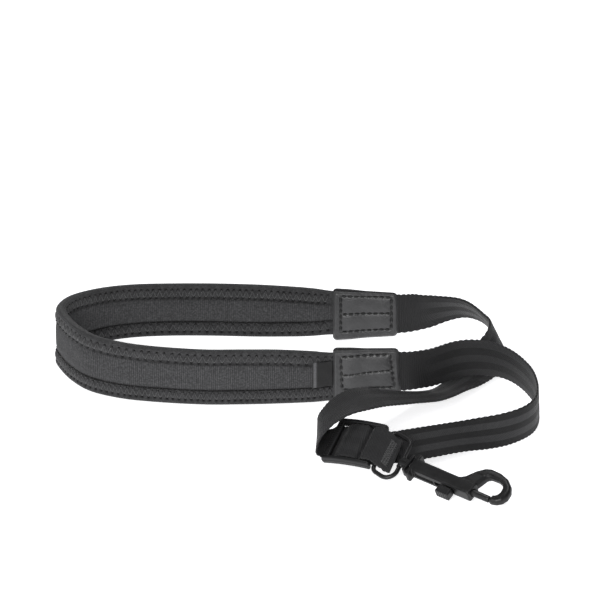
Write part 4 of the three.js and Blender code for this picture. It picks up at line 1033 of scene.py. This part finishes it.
def adjuster():
    arch = lambda u: 1.3 * (1 - (u / 16.5) ** 2) - 0.9
    u = np.linspace(-16.5, 16.5, 45)
    d = 16.5 - np.abs(u)
    cut = np.where(d < 1.9, 1.9 - np.sqrt(np.maximum(0, 1.9**2 - (1.9 - d) ** 2)), 0)
    top, bot = np.stack([u, arch(u) + 2.75 - cut], 1), np.stack([u, arch(u) - 2.75 + cut], 1)[::-1]
    rail = np.vstack([bot, top])[1:]
    shells = []
    for c in (14.25, -14.25):
        shells.append(prism(rail, [(i, z + c) for i, z in soft_layers(1.25, 0.75)], lambda x, y, z: adj(x, z, y)))
    e = 13.6
    for a, b, t in ((-16.4, -12.0, 1.3), (-3.5, 4.5, 1.2), (10.0, 13.0, 1.3)):
        o = rounded([(a, -t), (b, -t), (b, t), (a, t)], 1.0)
        shells.append(prism(o, [(0, -e), (0, e)], lambda x, y, z: adj(x, z, y)))
    # grip ribs on the end bar, and a step along the outside of each rail
    for i in range(17):
        v = -12 + 24 * i / 16
        o = rounded([(-16.3, 0.9), (-12.2, 0.9), (-12.6, 1.62), (-15.9, 1.62)], 0.3, 2)
        shells.append(prism(o, [(0, v - 0.38), (0, v + 0.38)], lambda x, y, z: adj(x, z, y)))
    for s in (1, -1):
        o = np.vstack([np.stack([u, arch(u) + 0.55], 1), np.stack([u, arch(u) - 0.55], 1)[::-1]]) * [0.93, 1]
        shells.append(prism(o, [(0, s * 15.3), (0, s * 15.75)], lambda x, y, z: adj(x, z, y)))
    return fuse("moulded_adjuster", shells, 0.24, mat_adj, smooth=3)


give(adjuster(), "adjuster_frame", "adjuster")


# ------------------------------------------------------------------ swivel link
def link():
    C = [[-11.6, 17.3], [-4.9, -12.6], [11.7, -15.5], [4.8, 15.1]]
    R = [3.6, 4.5, 6, 4.5]
    path = []
    for i in range(4):
        a, b, c = (np.array(C[(i + 3) % 4], float), np.array(C[i], float), np.array(C[(i + 1) % 4], float))
        d1, d2 = unit(a - b), unit(c - b)
        half = math.acos(d1 @ d2) / 2
        t = R[i] / math.tan(half)
        p1, p2 = b + d1 * t, b + d2 * t
        cc = b + unit(d1 + d2) * R[i] / math.sin(half)
        a1 = math.atan2(*(p1 - cc)[::-1])
        da = (math.atan2(*(p2 - cc)[::-1]) - a1 + math.pi) % (2 * math.pi) - math.pi
        path += [cc + R[i] * np.array([math.cos(a1 + da * k / 14), math.sin(a1 + da * k / 14)]) for k in range(15)]
    path = np.array(path)
    T = unit(np.roll(path, -1, 0) - np.roll(path, 1, 0))
    w = np.arange(20) * 2 * math.pi / 20
    r = 1.4
    Px = path[:, None, 0] + T[:, None, 1] * r * np.cos(w)
    Py = path[:, None, 1] - T[:, None, 0] * r * np.cos(w)
    Pz = np.repeat(r * np.sin(w)[None], len(path), 0)
    ring = hook_at(Px, Py, Pz).reshape(-1, 3), ring_faces(len(path), 20, loop=True)
    fl = plate(13.4, 15.4, 6.2, 3.6, 1.1)
    post = lathe([[8.0, 2.95], [13.5, 3.0], [14.9, 3.0], [15.1, 2.2], [25.3, 2.2], [25.3, 2.7], [25.5, 2.9], [27.2, 2.9], [27.5, 2.5]])
    # webs where the ring meets the neck
    web1 = prism(rounded([(7.4, -4.6), (10.8, -3.0), (10.8, 3.0), (6.2, 4.6)], 0.6), [(0.5, -1.25), (0, -0.8), (0, 0.8), (0.5, 1.25)], hook_at)
    return fuse("moulded_link", [ring, post, web1, fl], 0.2, mat_eye, smooth=3)


give(link(), "swivel_eye", "eye")


# ------------------------------------------------------------------ snap hook
ARM = [[48.5, 2.5], [49.3, 5.0], [52.5, 7.2], [54.4, 10.2], [56.4, 13.2], [60.3, 17.2], [64, 18.7], [70.8, 18.6], [77.4, 16.8], [82.3, 13.2],
    [84.7, 9.4], [85.2, 5.0], [83.7, 1.3], [80.9, -1.0], [77.9, -2.0], [75.6, -2.0], [75.6, 3.0], [76.8, 3.1], [78.0, 4.0], [78.8, 6.2], [78.2, 9.6],
    [76.5, 11.9], [72.6, 13.2], [66.7, 13.0], [65, 12.1], [63.6, 7.5], [62.6, 4.6], [62.2, 3.4], [60, 3.0]]


def hook():
    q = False
    sec = rounded([(-4.5, -4.0), (4.5, -4.0), (4.5, 4.0), (-4.5, 4.0)], 1.25, 5)
    at = lambda h, s: hook_at(np.full(len(sec), h), sec[:, 0] * s, sec[:, 1] * s)
    body = np.vstack([at(19, 1), at(61.9, 1), at(62.5, 0.96), at(62.8, 0.9)]), ring_faces(4, len(sec))
    collar = plate(17, 19.7, 8.0, 4.0, 1.3)
    # the arm grows out of the body flush with its faces and thins towards the round tip
    arm = prism(rounded(ARM, 2.4, 4), soft_layers(2.8, 2.1, 7), lambda h, p, q: hook_at(h, p, q * (1.36 - 0.36 * np.clip((h - 55.0) / 13.0, 0, 1))))
    # raised rib along one edge of the front face
    rib1 = prism(rounded([(21, -4.45), (61.5, -4.45), (61.5, -3.3), (21, -3.3)], 0.5), [(0.3, 3.6), (0, 3.8), (0, 4.12), (0.3, 4.25)], hook_at)
    shells = [body, collar, arm, rib1]
    cuts = [lathe([[15, 2.5], [25, 2.5], [25, 3.2], [28.6, 3.2]], 32), lathe([[30, 2.4], [68, 2.4]], 32),
            block((36.5, -6, -1.7), (51.5, 0, 1.7), hook_at),
            block((21.5, -6, -1.5), (35.5, -3.6, 1.5), hook_at)]
    return fuse("moulded_hook", shells, 0.26 if not q else 0.5, mat_hook, cuts, smooth=3, again=0.24 if not q else 0.45)


give(hook(), "hook_body", "hook")


def pin():
    a = lathe([[46, 1.7], [46.3, 2.1], [74.4, 2.1], [74.9, 1.9], [75.2, 1.5], [75.3, 1.1]], 40)
    return add("moulded_pin", *a, mat_pin)


pin_ob = flat_sharp(give(pin(), "plunger_pin", "plunger"), 35)


def button():
    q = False
    stem = block((46.6, -6.2, -1.25), (50.4, -2.45, 1.25), hook_at)
    cap_o = rounded([(41.2, -3.0), (50.8, -3.0), (50.8, 3.0), (41.2, 3.0)], 1.1, 5)
    cap = prism(cap_o, [(0.35, -10.25), (0, -9.9), (0, -5.3), (0.2, -5.1)], lambda x, y, z: hook_at(x, z, y))
    ribs = []
    for i in range(5):
        h = 42.8 + i * 1.6
        ribs.append(block((h - 0.3, -10.3, -2.5), (h + 0.3, -9.6, 2.5), hook_at))
    return fuse("moulded_thumb_button", [stem, cap], 0.2 if not q else 0.35, mat_pin, smooth=3,
        cutters=[block((42.3 + i * 1.75, -10.8, -3.5), (43.0 + i * 1.75, -9.95, 3.5), hook_at) for i in range(5)], again=0.2 if not q else 0.3)


give(button(), "thumb_button", "plunger")


def spring():
    n = 7 * 40
    t = np.arange(n + 1) / n
    a = t * 7 * 2 * math.pi
    C = np.stack([30.7 + 14.6 * t, 1.65 * np.cos(a), 1.65 * np.sin(a)], 1)
    P = []
    for j in range(10):
        e = j * 2 * math.pi / 10
        rr = 1.65 + 0.26 * math.cos(e)
        P.append(hook_at(C[:, 0] + 0.26 * math.sin(e), rr * np.cos(a), rr * np.sin(a)))
    P = np.stack(P, 1)
    return add("coil_spring", P.reshape(-1, 3), ring_faces(n + 1, 10), mat_steel)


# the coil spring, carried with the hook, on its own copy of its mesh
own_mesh(give(spring(), "plunger_spring", "hook"), "plunger_slide", axis=tuple(hH), anchor=tuple(row(RC + 30.4 * hH)), keep=0.40)

# ------------------------------------------------------------------ floor, light, camera
FLOOR_GLOW, WORLD = 0.72, 0.8


def m_floor():
    M = Mat("pale_floor", 0.9, 0.1)
    n = M.noise(M.pos(), 6, 2)
    M.put("Base Color", M.ramp(n, [(0.3, 0.88), (0.7, 0.90)]))
    M.put("Emission Color", (1, 1, 1, 1))
    M.put("Emission Strength", FLOOR_GLOW)
    return M.m


bpy.ops.mesh.primitive_plane_add(size=8, location=(0, 0, -0.0006))
floor = bpy.context.object
floor.name = "floor"
floor.data.materials.append(m_floor())

world = bpy.data.worlds.new("studio")
SCENE.world = world
world.use_nodes = True
wt = world.node_tree
bg = wt.nodes["Background"]
co = wt.nodes.new("ShaderNodeTexCoord")
sp = wt.nodes.new("ShaderNodeSeparateXYZ")
rp = wt.nodes.new("ShaderNodeValToRGB")
wt.links.new(co.outputs["Generated"], sp.inputs[0])
wt.links.new(sp.outputs[2], rp.inputs[0])
wt.links.new(rp.outputs[0], bg.inputs[0])
e_ = rp.color_ramp.elements
e_[0].position, e_[0].color = 0.0, (1, 1, 1, 1)
e_[1].position, e_[1].color = 0.85, (0.16, 0.16, 0.17, 1)
m_ = e_.new(0.35)
m_.color = (0.62, 0.62, 0.63, 1)
bg.inputs[1].default_value = WORLD


def area(name, at, to, size, power):
    d = bpy.data.lights.new(name, "AREA")
    d.shape, d.size, d.energy = "DISK", size, power
    o = bpy.data.objects.new(name, d)
    SCENE.collection.objects.link(o)
    o.location = at
    o.rotation_mode = "QUATERNION"
    o.rotation_quaternion = (Vector(to) - Vector(at)).to_track_quat("-Z", "Y")
    return o


area("front", (-0.45, -1.5, 0.75), (0, 0, 0), 0.9, 26)
area("top", (0.1, 0.25, 1.3), (0, 0, 0), 0.5, 5)

cam_d = bpy.data.cameras.new("camera")
cam = bpy.data.objects.new("camera", cam_d)
SCENE.collection.objects.link(cam)
cam_d.type = "ORTHO"
cam_d.ortho_scale = 600 / 1.68 / 1000
look = Vector(row((0, 149.3, 0)))
el = math.radians(25)
cam.location = look + Vector((0, -math.cos(el), math.sin(el))) * 1.6
cam.rotation_mode = "QUATERNION"
cam.rotation_quaternion = Vector((0, math.cos(el), -math.sin(el))).to_track_quat("-Z", "Y")
cam_d.clip_start, cam_d.clip_end = 0.01, 20
SCENE.camera = cam
SCENE.view_settings.view_transform = "Standard"
